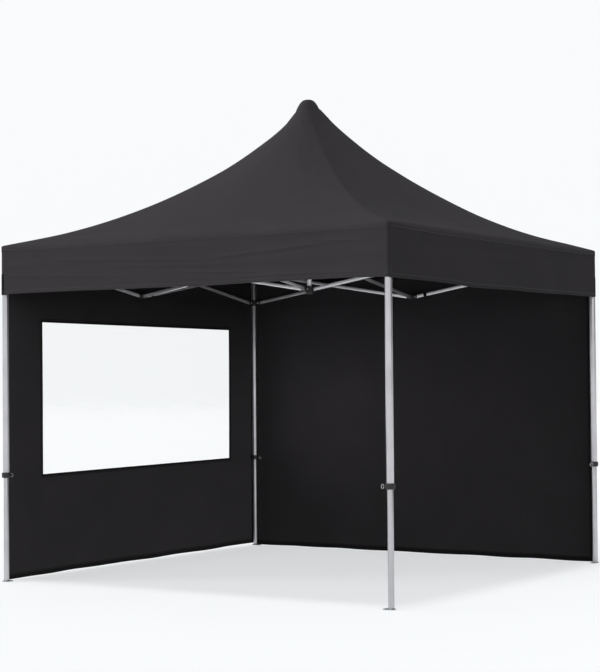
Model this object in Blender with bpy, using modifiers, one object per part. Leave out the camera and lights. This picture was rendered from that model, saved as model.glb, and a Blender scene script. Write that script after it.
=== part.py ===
"""A three metre folding party tent with one window wall and one plain wall.

Metres, +Z up. The origin is on the ground at the middle of the four legs.
The tent stands open. The front faces -Y and the right side faces +X.
"""

import math

import bmesh
import bpy
from mathutils import Matrix, Vector

# Plan of the tent
LEG_SPACING_HALF = 1.46
CANOPY_HALF = 1.5031
WALL_OUTER_HALF = 1.4998
CLOTH_THICKNESS = 0.003
CLEAR = 0.0003
CUT_OVERRUN = 0.1
MERGE_DISTANCE = 1e-6
SMOOTH_BELOW_DEGREES = 30
QUARTER_TURN = math.pi / 2

# Heights
VALANCE_BOTTOM_Z = 1.89
EAVE_Z = 2.217
PEAK_Z = 3.242
UPPER_PIVOT_Z = 2.17
LOWER_PIVOT_Z = 1.94
WALL_BOTTOM_Z = 0.025
WALL_TOP_Z = 2.12

# Share of the way from a corner to the peak, and share of the rise there
HIP_PROFILE = (
    (0.0, 0.0),
    (0.21, 0.066),
    (0.43, 0.22),
    (0.70, 0.49),
    (0.85, 0.685),
    (0.92, 0.82),
    (0.965, 0.94),
    (1.0, 1.0),
)
ROOF_RINGS = (0.0, 0.1, 0.21, 0.34, 0.48, 0.6, 0.72, 0.82, 0.9, 0.955)
ROOF_STEPS_A_SIDE = 8
ROUNDING_POWER = 1.5

# Scissor bars
BAR_HEIGHT = 0.024
BAR_THICKNESS = 0.012
LAYER_OFFSET = 0.008
BAR_END_STEPS = 3
LEG_PIVOT_OFFSET = 0.048
MID_PIVOT_OFFSET = 0.030
HUB_PIVOT_OFFSET = 0.048
PIN_RADIUS = 0.004
PIN_SIDES = 6
HOLE_RADIUS = 0.0051
PIN_REACH = 0.0155

# Legs
LEG_SIDES = 8
OUTER_LEG_WIDTH = 0.042
OUTER_LEG_WALL = 0.002
OUTER_LEG_BOTTOM_Z = 0.704
OUTER_LEG_TOP_Z = 2.2
INNER_LEG_WIDTH = 0.034
INNER_LEG_TOP_Z = 0.90
FOOT_HALF_WIDTH = 0.022
FOOT_REACH = 0.046
FOOT_THICKNESS = 0.005

# Plastic fittings
BRACKET_RADIUS = 0.033
BRACKET_BOTTOM_Z = 2.125
BRACKET_TOP_Z = 2.2135
SLIDER_RADIUS = 0.033
SLIDER_HALF_HEIGHT = 0.030
SLIDER_PLAY = 0.0008
LOCK_RADIUS = 0.032
LOCK_BOTTOM_Z = 0.688
LOCK_TOP_Z = 0.718
LOCK_PIN_REACH = 0.046
LOCK_PIN_WIDTH = 0.016
LOCK_PIN_HALF_HEIGHT = 0.008
LUG_HALF_HEIGHT = 0.014
LUG_START = 0.026
LUG_END = 0.060
PLATE_INNER = 0.0015
PLATE_OUTER = 0.014
MID_PLATE_HALF = 0.042

# Middle of the tent
HUB_OUTER_RADIUS = 0.034
HUB_BORE_RADIUS = 0.027
HUB_HALF_HEIGHT = 0.016
LOWER_HUB_BORE_RADIUS = 0.0163
MAST_RADIUS = 0.016
MAST_BOTTOM_Z = 1.905
MAST_CAP_RADIUS = 0.020
MAST_CAP_HEIGHT = 0.030
MAST_TOP_Z = 3.219
ROUND_SIDES = 16

# Window in the left wall
WINDOW_Y = (-1.056, 1.162)
WINDOW_Z = (0.70, 1.73)

# The walls reach past their shared corner and end behind the legs at their open ends
WALL_CORNER_END = 1.485
WALL_OPEN_END = 1.44

SIDES = ("front", "right", "back", "left")
CORNERS = ("front_left", "front_right", "back_right", "back_left")

BAR_SPAN = LEG_SPACING_HALF - LEG_PIVOT_OFFSET - MID_PIVOT_OFFSET
BAR_DROP = UPPER_PIVOT_Z - LOWER_PIVOT_Z
BAR_LENGTH = math.hypot(BAR_SPAN, BAR_DROP)


def clear_scene():
    for thing in list(bpy.data.objects):
        bpy.data.objects.remove(thing, do_unlink=True)


def new_collection(name):
    found = bpy.data.collections.get(name) or bpy.data.collections.new(name)
    if found.name not in bpy.context.scene.collection.children:
        bpy.context.scene.collection.children.link(found)
    return found


def new_material(name, colour, roughness, metallic=0.0, alpha=1.0):
    made = bpy.data.materials.new(name)
    made.use_nodes = True
    shader = made.node_tree.nodes["Principled BSDF"]
    shader.inputs["Base Color"].default_value = (*colour, 1.0)
    shader.inputs["Roughness"].default_value = roughness
    shader.inputs["Metallic"].default_value = metallic
    shader.inputs["Alpha"].default_value = alpha
    return made


def object_from_bmesh(name, built):
    mesh = bpy.data.meshes.new(name)
    bmesh.ops.recalc_face_normals(built, faces=built.faces)
    built.to_mesh(mesh)
    built.free()
    made = bpy.data.objects.new(name, mesh)
    tent.objects.link(made)
    return made


def box(name, low, high):
    """A box between two corners."""
    built = bmesh.new()
    bmesh.ops.create_cube(built, size=1.0)
    size = Vector(high) - Vector(low)
    middle = (Vector(high) + Vector(low)) / 2
    bmesh.ops.scale(built, vec=size, verts=built.verts)
    bmesh.ops.translate(built, vec=middle, verts=built.verts)
    return object_from_bmesh(name, built)


def rod(name, radius, sides, start, end):
    """A round or many sided rod between two points, with its corners at the radius."""
    built = bmesh.new()
    axis = Vector(end) - Vector(start)
    bmesh.ops.create_cone(
        built,
        cap_ends=True,
        segments=sides,
        radius1=radius,
        radius2=radius,
        depth=axis.length,
    )
    half_step = Matrix.Rotation(math.pi / sides, 4, "Z")
    tilt = axis.to_track_quat("Z", "Y").to_matrix().to_4x4()
    middle = Matrix.Translation((Vector(start) + Vector(end)) / 2)
    bmesh.ops.transform(built, matrix=middle @ tilt @ half_step, verts=built.verts)
    return object_from_bmesh(name, built)


def combine(base, others, operation):
    """Joins the others to the base, or cuts them from it, and removes them."""
    for other in others:
        step = base.modifiers.new("combine", "BOOLEAN")
        step.operation = operation
        step.solver = "EXACT"
        step.object = other
    graph = bpy.context.evaluated_depsgraph_get()
    result = bpy.data.meshes.new_from_object(base.evaluated_get(graph))
    base.modifiers.clear()
    base.data = result
    for other in others:
        bpy.data.objects.remove(other, do_unlink=True)
    return base


def flat_across(width):
    """Corner radius of the leg's section from its width over the flats."""
    return width / 2 / math.cos(math.pi / LEG_SIDES)


def place(piece, position, turn=0):
    """Turns a piece by quarter turns about the middle of the tent and puts it there."""
    turning = Matrix.Rotation(turn * QUARTER_TURN, 4, "Z")
    piece.location = turning @ Vector(position)
    piece.rotation_euler = (0.0, 0.0, turn * QUARTER_TURN)
    return piece


def hang_on_pivot(name, pivot, turn, pieces):
    """Parents pieces that move together to an empty on their joint's axis."""
    empty = place(bpy.data.objects.new(name, None), pivot, turn)
    tent.objects.link(empty)
    frame = Matrix.Translation(empty.location) @ empty.rotation_euler.to_matrix().to_4x4()
    for piece in pieces:
        turned_to = piece.rotation_euler.to_matrix().to_4x4()
        local = frame.inverted() @ Matrix.Translation(piece.location) @ turned_to
        piece.parent = empty
        piece.location = local.to_translation()
        piece.rotation_euler = local.to_euler()


def finish(piece, material, smooth=False):
    piece.data.materials.clear()
    piece.data.materials.append(material)
    if smooth:
        piece.data.shade_smooth()
        piece.data.set_sharp_from_angle(angle=math.radians(SMOOTH_BELOW_DEGREES))
    return piece


def circle_points(middle, radius, sides, start=0.0, sweep=math.tau, closed=True):
    count = sides if closed else sides + 1
    angles = [start + sweep * step / sides for step in range(count)]
    return [
        (middle + radius * math.cos(angle), radius * math.sin(angle))
        for angle in angles
    ]


def flat_bar(name, holes):
    """A bar along +X from its first pivot at the origin, with round ends and pin holes.

    It lies flat: its height is along Y and its thickness along Z.
    """
    half = BAR_HEIGHT / 2
    far_end = circle_points(
        BAR_LENGTH, half, BAR_END_STEPS, -QUARTER_TURN, math.pi, closed=False
    )
    near_end = circle_points(
        0.0, half, BAR_END_STEPS, QUARTER_TURN, math.pi, closed=False
    )
    outlines = [far_end + near_end]
    for hole in holes:
        outlines.append(circle_points(hole, HOLE_RADIUS, PIN_SIDES))
    curve = bpy.data.curves.new(name, "CURVE")
    curve.dimensions = "2D"
    curve.fill_mode = "BOTH"
    curve.extrude = BAR_THICKNESS / 2
    for outline in outlines:
        spline = curve.splines.new("POLY")
        spline.points.add(len(outline) - 1)
        spline.use_cyclic_u = True
        for point, (x, y) in zip(spline.points, outline):
            point.co = (x, y, 0.0, 1.0)
    guide = bpy.data.objects.new(name + "_outline", curve)
    tent.objects.link(guide)
    graph = bpy.context.evaluated_depsgraph_get()
    mesh = bpy.data.meshes.new_from_object(guide.evaluated_get(graph))
    bpy.data.objects.remove(guide, do_unlink=True)
    built = bmesh.new()
    built.from_mesh(mesh)
    bpy.data.meshes.remove(mesh)
    bmesh.ops.remove_doubles(built, verts=built.verts, dist=MERGE_DISTANCE)
    return object_from_bmesh(name, built)


def scissor_bar(name, first, last, across, layer, joint_at, pinned):
    """A bar from pivot to pivot of one scissor.

    across is the direction of the pivots' axes, and layer says on which side of the
    middle plane the bar lies. joint_at is the share of the length at which its own
    joint is, where the piece has its origin. A pinned bar has the crossing's pin.
    """
    first, last, across = Vector(first), Vector(last), Vector(across)
    along = (last - first).normalized()
    up = across.cross(along)
    holes = (0.0, BAR_LENGTH) if pinned else (0.0, BAR_LENGTH / 2, BAR_LENGTH)
    piece = flat_bar(name, holes)
    if pinned:
        middle = BAR_LENGTH / 2
        reach = -layer * (PIN_REACH + LAYER_OFFSET)
        pin = rod(
            name + "_pin",
            PIN_RADIUS,
            PIN_SIDES,
            (middle, 0.0, 0.0),
            (middle, 0.0, reach),
        )
        combine(piece, [pin], "UNION")
    frame = Matrix((along, up, across)).transposed().to_4x4()
    offset = along * (-joint_at * BAR_LENGTH) + across * (layer * LAYER_OFFSET)
    piece.data.transform(Matrix.Translation(offset) @ frame)
    piece.data.update()
    origin = first + along * (joint_at * BAR_LENGTH)
    return piece, origin


def side_scissors(side, turn):
    """The two crossed pairs of bars along one side, made on the front side and turned."""
    plane = -LEG_SPACING_HALF
    leg_x = LEG_SPACING_HALF - LEG_PIVOT_OFFSET
    outward = (0.0, -1.0, 0.0)
    for half, sign in (("first", -1), ("second", 1)):
        leg_high = (sign * leg_x, plane, UPPER_PIVOT_Z)
        leg_low = (sign * leg_x, plane, LOWER_PIVOT_Z)
        mid_high = (sign * MID_PIVOT_OFFSET, plane, UPPER_PIVOT_Z)
        mid_low = (sign * MID_PIVOT_OFFSET, plane, LOWER_PIVOT_Z)
        low, at = scissor_bar(
            f"{side}_{half}_bar_from_slider", mid_high, leg_low, outward, 1, 0.0, False
        )
        place(finish(low, silver), at, turn)
        high, at = scissor_bar(
            f"{side}_{half}_bar_from_leg_top", leg_high, mid_low, outward, -1, 0.5, True
        )
        place(finish(high, silver), at, turn)


def inner_scissor(side, turn):
    """The crossed pair from the middle of one side to the hubs."""
    hub_y = -HUB_PIVOT_OFFSET
    mid_y = -(LEG_SPACING_HALF - MID_PIVOT_OFFSET)
    across = (1.0, 0.0, 0.0)
    falling, at = scissor_bar(
        f"{side}_inner_bar_from_upper_hub",
        (0.0, hub_y, UPPER_PIVOT_Z),
        (0.0, mid_y, LOWER_PIVOT_Z),
        across,
        1,
        0.0,
        True,
    )
    place(finish(falling, silver), at, turn)
    rising, at = scissor_bar(
        f"{side}_inner_bar_from_lower_hub",
        (0.0, hub_y, LOWER_PIVOT_Z),
        (0.0, mid_y, UPPER_PIVOT_Z),
        across,
        -1,
        0.5,
        False,
    )
    place(finish(rising, silver), at, turn)


def lug(name, layer, start, end):
    """An ear along +X in the XZ plane with a pin at its end that carries a bar.

    The bar is on the layer's side of the plane, and the ear on the other side.
    """
    near, far = sorted((layer * PLATE_INNER, -layer * PLATE_OUTER))
    return box(name, (start, near, -LUG_HALF_HEIGHT), (end, far, LUG_HALF_HEIGHT))


def lug_pin(name, layer, distance):
    return rod(
        name,
        PIN_RADIUS,
        PIN_SIDES,
        (distance, -layer * LAYER_OFFSET, 0.0),
        (distance, layer * PIN_REACH, 0.0),
    )


def turned(piece, angle):
    piece.data.transform(Matrix.Rotation(angle, 4, "Z"))
    return piece


def corner_lugs(name, layer, height):
    """Two ears with pins, along +X and +Y, for a fitting at the front left corner.

    On the front side outward is -Y, and on the left side it is -X.
    """
    parts = []
    for suffix, side_layer, angle in (("x", -layer, 0.0), ("y", layer, QUARTER_TURN)):
        ear = lug(f"{name}_ear_{suffix}", side_layer, LUG_START, LUG_END)
        pin = lug_pin(f"{name}_pin_{suffix}", side_layer, LEG_PIVOT_OFFSET)
        parts.append(turned(ear, angle))
        parts.append(turned(pin, angle))
    for part in parts:
        part.data.transform(Matrix.Translation((0.0, 0.0, height)))
    return parts


def outer_leg(corner):
    tube = rod(
        f"{corner}_outer_leg",
        flat_across(OUTER_LEG_WIDTH),
        LEG_SIDES,
        (0.0, 0.0, OUTER_LEG_BOTTOM_Z),
        (0.0, 0.0, OUTER_LEG_TOP_Z),
    )
    bore = rod(
        "bore",
        flat_across(OUTER_LEG_WIDTH - 2 * OUTER_LEG_WALL),
        LEG_SIDES,
        (0.0, 0.0, OUTER_LEG_BOTTOM_Z - CUT_OVERRUN),
        (0.0, 0.0, OUTER_LEG_TOP_Z + CUT_OVERRUN),
    )
    return finish(combine(tube, [bore], "DIFFERENCE"), silver)


def inner_leg(corner):
    """The sliding tube with its foot plate, which reaches inwards along one side."""
    inner = rod(
        f"{corner}_inner_leg",
        flat_across(INNER_LEG_WIDTH),
        LEG_SIDES,
        (0.0, 0.0, FOOT_THICKNESS / 2),
        (0.0, 0.0, INNER_LEG_TOP_Z),
    )
    foot = box(
        "foot",
        (-FOOT_HALF_WIDTH, -FOOT_HALF_WIDTH, 0.0),
        (FOOT_HALF_WIDTH, FOOT_REACH, FOOT_THICKNESS),
    )
    return finish(combine(inner, [foot], "UNION"), pale_silver)


def top_bracket(corner):
    bracket = rod(
        f"{corner}_top_bracket",
        BRACKET_RADIUS,
        LEG_SIDES,
        (0.0, 0.0, BRACKET_BOTTOM_Z),
        (0.0, 0.0, BRACKET_TOP_Z),
    )
    socket = rod(
        "socket",
        flat_across(OUTER_LEG_WIDTH + 2 * CLEAR),
        LEG_SIDES,
        (0.0, 0.0, BRACKET_BOTTOM_Z - CUT_OVERRUN),
        (0.0, 0.0, OUTER_LEG_TOP_Z + CLEAR),
    )
    combine(bracket, corner_lugs("bracket", -1, UPPER_PIVOT_Z), "UNION")
    return finish(combine(bracket, [socket], "DIFFERENCE"), black)


def slider(corner):
    """The ring that runs on the outer leg, with its origin on its pivot."""
    ring = rod(
        f"{corner}_slider",
        SLIDER_RADIUS,
        LEG_SIDES,
        (0.0, 0.0, -SLIDER_HALF_HEIGHT),
        (0.0, 0.0, SLIDER_HALF_HEIGHT),
    )
    sleeve = rod(
        "sleeve",
        flat_across(OUTER_LEG_WIDTH + 2 * SLIDER_PLAY),
        LEG_SIDES,
        (0.0, 0.0, -CUT_OVERRUN),
        (0.0, 0.0, CUT_OVERRUN),
    )
    combine(ring, corner_lugs("slider", 1, 0.0), "UNION")
    finish(combine(ring, [sleeve], "DIFFERENCE"), black)
    ring.data.transform(Matrix.Translation((-LEG_PIVOT_OFFSET, 0.0, 0.0)))
    return ring


def leg_lock(corner):
    """The collar at the end of the outer leg with its pull pin."""
    lock = rod(
        f"{corner}_leg_lock",
        LOCK_RADIUS,
        LEG_SIDES,
        (0.0, 0.0, LOCK_BOTTOM_Z),
        (0.0, 0.0, LOCK_TOP_Z),
    )
    lock_middle = (LOCK_BOTTOM_Z + LOCK_TOP_Z) / 2
    pull_pin = box(
        "pull_pin",
        (-LOCK_PIN_WIDTH / 2, 0.0, lock_middle - LOCK_PIN_HALF_HEIGHT),
        (LOCK_PIN_WIDTH / 2, LOCK_PIN_REACH, lock_middle + LOCK_PIN_HALF_HEIGHT),
    )
    upper_bore = rod(
        "upper_bore",
        flat_across(OUTER_LEG_WIDTH + 2 * CLEAR),
        LEG_SIDES,
        (0.0, 0.0, OUTER_LEG_BOTTOM_Z - CLEAR),
        (0.0, 0.0, LOCK_TOP_Z + CUT_OVERRUN),
    )
    lower_bore = rod(
        "lower_bore",
        flat_across(INNER_LEG_WIDTH + 2 * CLEAR),
        LEG_SIDES,
        (0.0, 0.0, LOCK_BOTTOM_Z - CUT_OVERRUN),
        (0.0, 0.0, OUTER_LEG_BOTTOM_Z),
    )
    combine(lock, [pull_pin], "UNION")
    return finish(combine(lock, [upper_bore, lower_bore], "DIFFERENCE"), black)


def leg(corner, turn):
    """One leg with its top bracket, slider and lock, made at the front left corner."""
    x = -LEG_SPACING_HALF
    hanging = (outer_leg(corner), top_bracket(corner), leg_lock(corner))
    for piece in hanging:
        place(piece, (x, x, 0.0), turn)
    place(inner_leg(corner), (x, x, 0.0), turn)
    place(slider(corner), (x + LEG_PIVOT_OFFSET, x, LOWER_PIVOT_Z), turn)
    top_pivot = (x + LEG_PIVOT_OFFSET, x, UPPER_PIVOT_Z)
    hang_on_pivot(f"{corner}_leg_pivot", top_pivot, turn, hanging)


def mid_bracket(side, level, turn):
    """A bracket at the middle of one side that carries two side bars and an inner bar."""
    upper = level == "upper"
    side_layer = 1 if upper else -1
    inner_layer = -1 if upper else 1
    near, far = sorted((-side_layer * PLATE_INNER, side_layer * PLATE_OUTER))
    plate = box(
        f"{side}_mid_bracket_{level}",
        (-MID_PLATE_HALF, near, -LUG_HALF_HEIGHT),
        (MID_PLATE_HALF, far, LUG_HALF_HEIGHT),
    )
    pins = []
    for sign in (-1, 1):
        pins.append(lug_pin(f"side_pin_{sign}", -side_layer, sign * MID_PIVOT_OFFSET))
    ear = lug("inner_ear", -inner_layer, 0.0, MID_PLATE_HALF)
    pins.append(turned(ear, QUARTER_TURN))
    inner_pin = lug_pin("inner_pin", -inner_layer, MID_PIVOT_OFFSET)
    pins.append(turned(inner_pin, QUARTER_TURN))
    combine(plate, pins, "UNION")
    height = UPPER_PIVOT_Z if upper else LOWER_PIVOT_Z
    shift = (0.0, -MID_PIVOT_OFFSET, 0.0)
    plate.data.transform(Matrix.Translation(shift))
    at = (0.0, -(LEG_SPACING_HALF - MID_PIVOT_OFFSET), height)
    place(finish(plate, black), at, turn)


def hub(name, layer, height, bore_radius):
    """A ring with four ears, one for the inner bar of each side."""
    ring = rod(
        name,
        HUB_OUTER_RADIUS,
        ROUND_SIDES,
        (0.0, 0.0, -HUB_HALF_HEIGHT),
        (0.0, 0.0, HUB_HALF_HEIGHT),
    )
    parts = []
    for turn in range(4):
        angle = (turn - 1) * QUARTER_TURN
        parts.append(turned(lug(f"ear_{turn}", layer, LUG_START, LUG_END), angle))
        pin = lug_pin(f"pin_{turn}", layer, HUB_PIVOT_OFFSET)
        parts.append(turned(pin, angle))
    combine(ring, parts, "UNION")
    bore = rod(
        "bore",
        bore_radius,
        ROUND_SIDES,
        (0.0, 0.0, -CUT_OVERRUN),
        (0.0, 0.0, CUT_OVERRUN),
    )
    combine(ring, [bore], "DIFFERENCE")
    return place(finish(ring, black), (0.0, 0.0, height))


def mast():
    """The middle pole on the lower hub with the cap that lifts the canopy's tip."""
    pole = rod(
        "mast",
        MAST_RADIUS,
        ROUND_SIDES,
        (0.0, 0.0, MAST_BOTTOM_Z),
        (0.0, 0.0, MAST_TOP_Z - MAST_CAP_HEIGHT / 2),
    )
    cap = rod(
        "cap",
        MAST_CAP_RADIUS,
        ROUND_SIDES,
        (0.0, 0.0, MAST_TOP_Z - MAST_CAP_HEIGHT),
        (0.0, 0.0, MAST_TOP_Z),
    )
    return finish(combine(pole, [cap], "UNION"), silver, smooth=True)


def hip_rise(share):
    """Share of the rise on the way from a corner to the peak, smooth and never falling."""
    knots = HIP_PROFILE
    slopes = [(b[1] - a[1]) / (b[0] - a[0]) for a, b in zip(knots, knots[1:])]
    ends = [slopes[0]]
    for before, after in zip(slopes, slopes[1:]):
        ends.append(2 * before * after / (before + after))
    ends.append(slopes[-1])
    index = 0
    while index < len(slopes) - 1 and share > knots[index + 1][0]:
        index += 1
    (x0, y0), (x1, y1) = knots[index], knots[index + 1]
    width = x1 - x0
    t = (share - x0) / width
    return (
        (2 * t**3 - 3 * t**2 + 1) * y0
        + (t**3 - 2 * t**2 + t) * width * ends[index]
        + (3 * t**2 - 2 * t**3) * y1
        + (t**3 - t**2) * width * ends[index + 1]
    )


def roof_point(across, share):
    """A point of the front roof face.

    across runs from -1 to 1 along the eave, and share from 0 at the eave to 1 at the
    peak. The level sections are square at the eave and round near the peak.
    """
    corner = math.sqrt(2) * CANOPY_HALF * (1 - share)
    rounding = share**ROUNDING_POWER
    square = math.hypot(1.0, across) / math.sqrt(2)
    reach = corner * ((1 - rounding) * square + rounding)
    length = math.hypot(1.0, across)
    height = EAVE_Z + (PEAK_Z - EAVE_Z) * hip_rise(share)
    return Vector((reach * across / length, -reach / length, height))


def roof():
    """The roof as one open sheet from the eave to the tip, with a thickness."""
    count = 4 * ROOF_STEPS_A_SIDE
    built = bmesh.new()
    rings = []
    for share in ROOF_RINGS:
        ring = []
        for step in range(count):
            turn, along = divmod(step, ROOF_STEPS_A_SIDE)
            point = roof_point(-1 + 2 * along / ROOF_STEPS_A_SIDE, share)
            turning = Matrix.Rotation(turn * QUARTER_TURN, 3, "Z")
            ring.append(built.verts.new(turning @ point))
        rings.append(ring)
    tip = built.verts.new((0.0, 0.0, PEAK_Z))
    for step in range(count):
        after = (step + 1) % count
        for lower, upper in zip(rings, rings[1:]):
            built.faces.new((lower[step], lower[after], upper[after], upper[step]))
        built.faces.new((rings[-1][step], rings[-1][after], tip))
    made = object_from_bmesh("canopy_roof", built)
    sheet = made.modifiers.new("cloth", "SOLIDIFY")
    sheet.thickness = CLOTH_THICKNESS
    sheet.offset = -1.0
    sheet.use_even_offset = True
    finish(made, black_cloth, smooth=True)


def valance():
    """The straight band that hangs from the eave on all four sides."""
    top = EAVE_Z - CLOTH_THICKNESS - CLEAR
    inner = CANOPY_HALF - CLOTH_THICKNESS
    band = box(
        "valance",
        (-CANOPY_HALF, -CANOPY_HALF, VALANCE_BOTTOM_Z),
        (CANOPY_HALF, CANOPY_HALF, top),
    )
    inside = box("inside", (-inner, -inner, 0.0), (inner, inner, PEAK_Z))
    finish(combine(band, [inside], "DIFFERENCE"), black_cloth)


def walls():
    """The left wall with its window, and the plain back wall."""
    inner = WALL_OUTER_HALF - CLOTH_THICKNESS
    left = box(
        "left_wall",
        (-WALL_OUTER_HALF, -WALL_OPEN_END, WALL_BOTTOM_Z),
        (-inner, WALL_CORNER_END, WALL_TOP_Z),
    )
    hole = box(
        "hole",
        (-WALL_OUTER_HALF - CUT_OVERRUN, WINDOW_Y[0], WINDOW_Z[0]),
        (-inner + CUT_OVERRUN, WINDOW_Y[1], WINDOW_Z[1]),
    )
    finish(combine(left, [hole], "DIFFERENCE"), black_cloth)
    pane = box(
        "window_pane",
        (-WALL_OUTER_HALF, WINDOW_Y[0] + CLEAR, WINDOW_Z[0] + CLEAR),
        (-inner, WINDOW_Y[1] - CLEAR, WINDOW_Z[1] - CLEAR),
    )
    finish(pane, clear_sheet)
    back = box(
        "back_wall",
        (-WALL_CORNER_END, inner, WALL_BOTTOM_Z),
        (WALL_OPEN_END, WALL_OUTER_HALF, WALL_TOP_Z),
    )
    finish(back, black_cloth)


clear_scene()
tent = new_collection("party_tent")
silver = new_material("silver_aluminium", (0.45, 0.45, 0.46), 0.35, 1.0)
pale_silver = new_material("pale_aluminium", (0.6, 0.6, 0.61), 0.35, 1.0)
black = new_material("black_plastic", (0.012, 0.012, 0.013), 0.45)
black_cloth = new_material("black_polyester", (0.012, 0.011, 0.012), 0.8)
clear_sheet = new_material("clear_vinyl", (0.9, 0.92, 0.93), 0.1, 0.0, 0.25)

for index, side_name in enumerate(SIDES):
    side_scissors(side_name, index)
    inner_scissor(side_name, index)
    mid_bracket(side_name, "upper", index)
    mid_bracket(side_name, "lower", index)
for index, corner_name in enumerate(CORNERS):
    leg(corner_name, index)
hub("hub_upper", 1, UPPER_PIVOT_Z, HUB_BORE_RADIUS)
lower_hub = hub("hub_lower", -1, LOWER_PIVOT_Z, LOWER_HUB_BORE_RADIUS)
lower_hub_pivot = (0.0, -HUB_PIVOT_OFFSET, LOWER_PIVOT_Z)
hang_on_pivot("lower_hub_pivot", lower_hub_pivot, 0, (lower_hub, mast()))
roof()
valance()
walls()
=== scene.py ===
"""Looks of the folding party tent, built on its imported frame.

Metres, +Z up. The front faces -Y, and each side is made at the front and turned.
"""

import math

import bmesh
import bpy
import numpy as np
from mathutils import Matrix, Vector, noise


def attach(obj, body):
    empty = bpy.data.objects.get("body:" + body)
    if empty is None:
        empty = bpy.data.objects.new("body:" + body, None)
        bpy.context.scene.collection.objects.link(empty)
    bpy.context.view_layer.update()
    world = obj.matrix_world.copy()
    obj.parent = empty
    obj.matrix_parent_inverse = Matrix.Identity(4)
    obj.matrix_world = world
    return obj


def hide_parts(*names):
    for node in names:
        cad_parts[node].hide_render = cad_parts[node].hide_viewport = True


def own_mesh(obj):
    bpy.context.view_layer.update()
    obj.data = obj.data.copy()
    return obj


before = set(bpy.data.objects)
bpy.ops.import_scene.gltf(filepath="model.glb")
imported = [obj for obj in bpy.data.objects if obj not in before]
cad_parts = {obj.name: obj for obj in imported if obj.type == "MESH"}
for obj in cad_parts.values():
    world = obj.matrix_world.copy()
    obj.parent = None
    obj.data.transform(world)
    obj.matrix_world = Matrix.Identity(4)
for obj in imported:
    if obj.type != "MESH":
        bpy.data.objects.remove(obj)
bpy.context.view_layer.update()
scene = bpy.context.scene

SIDES = ("front", "right", "back", "left")
CORNERS = ("front_left", "front_right", "back_right", "back_left")
QUARTER_TURN = math.pi / 2

# Frame
LEG = 1.46
PLANE = -LEG
UPPER_PIVOT_Z = 2.17
LOWER_PIVOT_Z = 1.94
LEG_PIVOT = 0.048
MID_PIVOT = 0.030
HUB_PIVOT = 0.048
LAYER = 0.008
BAR_HEIGHT = 0.024
BAR_THICKNESS = 0.0118
BAR_SPAN = LEG - LEG_PIVOT - MID_PIVOT
BAR_LENGTH = math.hypot(BAR_SPAN, UPPER_PIVOT_Z - LOWER_PIVOT_Z)

# Canopy
CORNER_ROUND = 0.026
EAVE_BOW = 0.0135
EAVE_Z = 2.2165
PEAK_Z = 3.2485
SEAM_Z = 2.177
CORNER_SHOULDER = 0.012
SIDE_SHOULDER = 0.046
SHOULDER_SLOPE = math.radians(16)
VALANCE_BOTTOM_Z = 1.893
CLOTH = 0.0015
ROUNDING_POWER = 1.28
HIP_PROFILE = (
    (0.0, 0.0),
    (0.21, 0.0915),
    (0.43, 0.2360),
    (0.70, 0.4960),
    (0.85, 0.7010),
    (0.92, 0.8200),
    (0.965, 0.9290),
    (1.0, 1.0),
)
GORES = 8
TIP_SHARE = 0.962
# How much higher the back right hip lies than the others: share of the way up, and rise
FULL_HIP = (
    (0.0, 0.004),
    (0.1, 0.009),
    (0.2, 0.008),
    (0.3, 0.008),
    (0.42, 0.012),
    (0.55, 0.023),
    (0.72, 0.031),
    (0.84, 0.028),
    (0.92, 0.034),
    (0.965, 0.034),
    (1.0, 0.018),
)
# The cap's dome above the roof: share of its foot's radius and of its rise
CAP_DOME = (
    (0.90, 0.22),
    (0.78, 0.46),
    (0.65, 0.68),
    (0.50, 0.85),
    (0.34, 0.945),
    (0.18, 0.985),
    (0.05, 1.0),
)
HALF_RUN = LEG + CORNER_ROUND * math.pi / 4
ARC_START = LEG / HALF_RUN

# Walls
WALL_INSET = 0.0035
WALL_TOP_Z = 2.12
WALL_BOTTOM_Z = 0.006
# How far a wall's top is tucked in behind the valance, and its foot kept out from the legs
WALL_TUCK = 0.007
FOOT_ROOM = 0.005
WINDOW_Y = (-1.064, 1.154)
WINDOW_Z = (0.70, 1.73)
# How far the left wall's rows hang off level: height, then the front end and the back end
LEFT_WALL_HANG = (
    (0.006, 0.004, 0.012),
    (0.70, -0.019, 0.009),
    (1.73, -0.003, -0.012),
    (2.12, 0.0, 0.0),
)
# How far the valance's free edge hangs off level, from place to place along a side
FRONT_HANG = ((-1.49, 0.0), (-1.2, 0.004), (-0.8, 0.006), (-0.3, 0.003), (0.2, 0.0), (0.9, 0.008), (1.2, 0.010), (1.49, 0.004))
RIGHT_HANG = ((-1.49, 0.002), (-1.0, -0.001), (-0.7, -0.008), (-0.45, -0.017), (0.0, -0.012), (0.6, -0.009), (1.49, 0.0))

# Webbing tabs round the corners of the valance
TAB_RADIUS = 0.0262
TAB_OVERLAP = 0.007
TAB_TOP_Z = 2.03
TAB_THICKNESS = 0.0009

# The dark board of the studio: its direction from +Y towards +X, and its size
BOARD_AZIMUTH = math.radians(60.0)
BOARD_DISTANCE = 60.0
BOARD_HALF_WIDTH = 52.0
BOARD_CORNERS = ((-1, 0.5), (1, 0.5), (1, 45.0), (-1, 45.0))

# Folding, from the joint that all the others follow
FOLD_DROP = 1.168
# Folded roof cloth: how far from the mast its eave ends, how far below the valance's top
GATHER_RADIUS = 0.03
GATHER_TUCK = 0.055
GATHER_KEEP = 0.04


def colour(text):
    """An sRGB hex value as linear light."""
    parts = [int(text[i : i + 2], 16) / 255 for i in (1, 3, 5)]
    linear = [p / 12.92 if p <= 0.04045 else ((p + 0.055) / 1.055) ** 2.4 for p in parts]
    return (*linear, 1.0)


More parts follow.
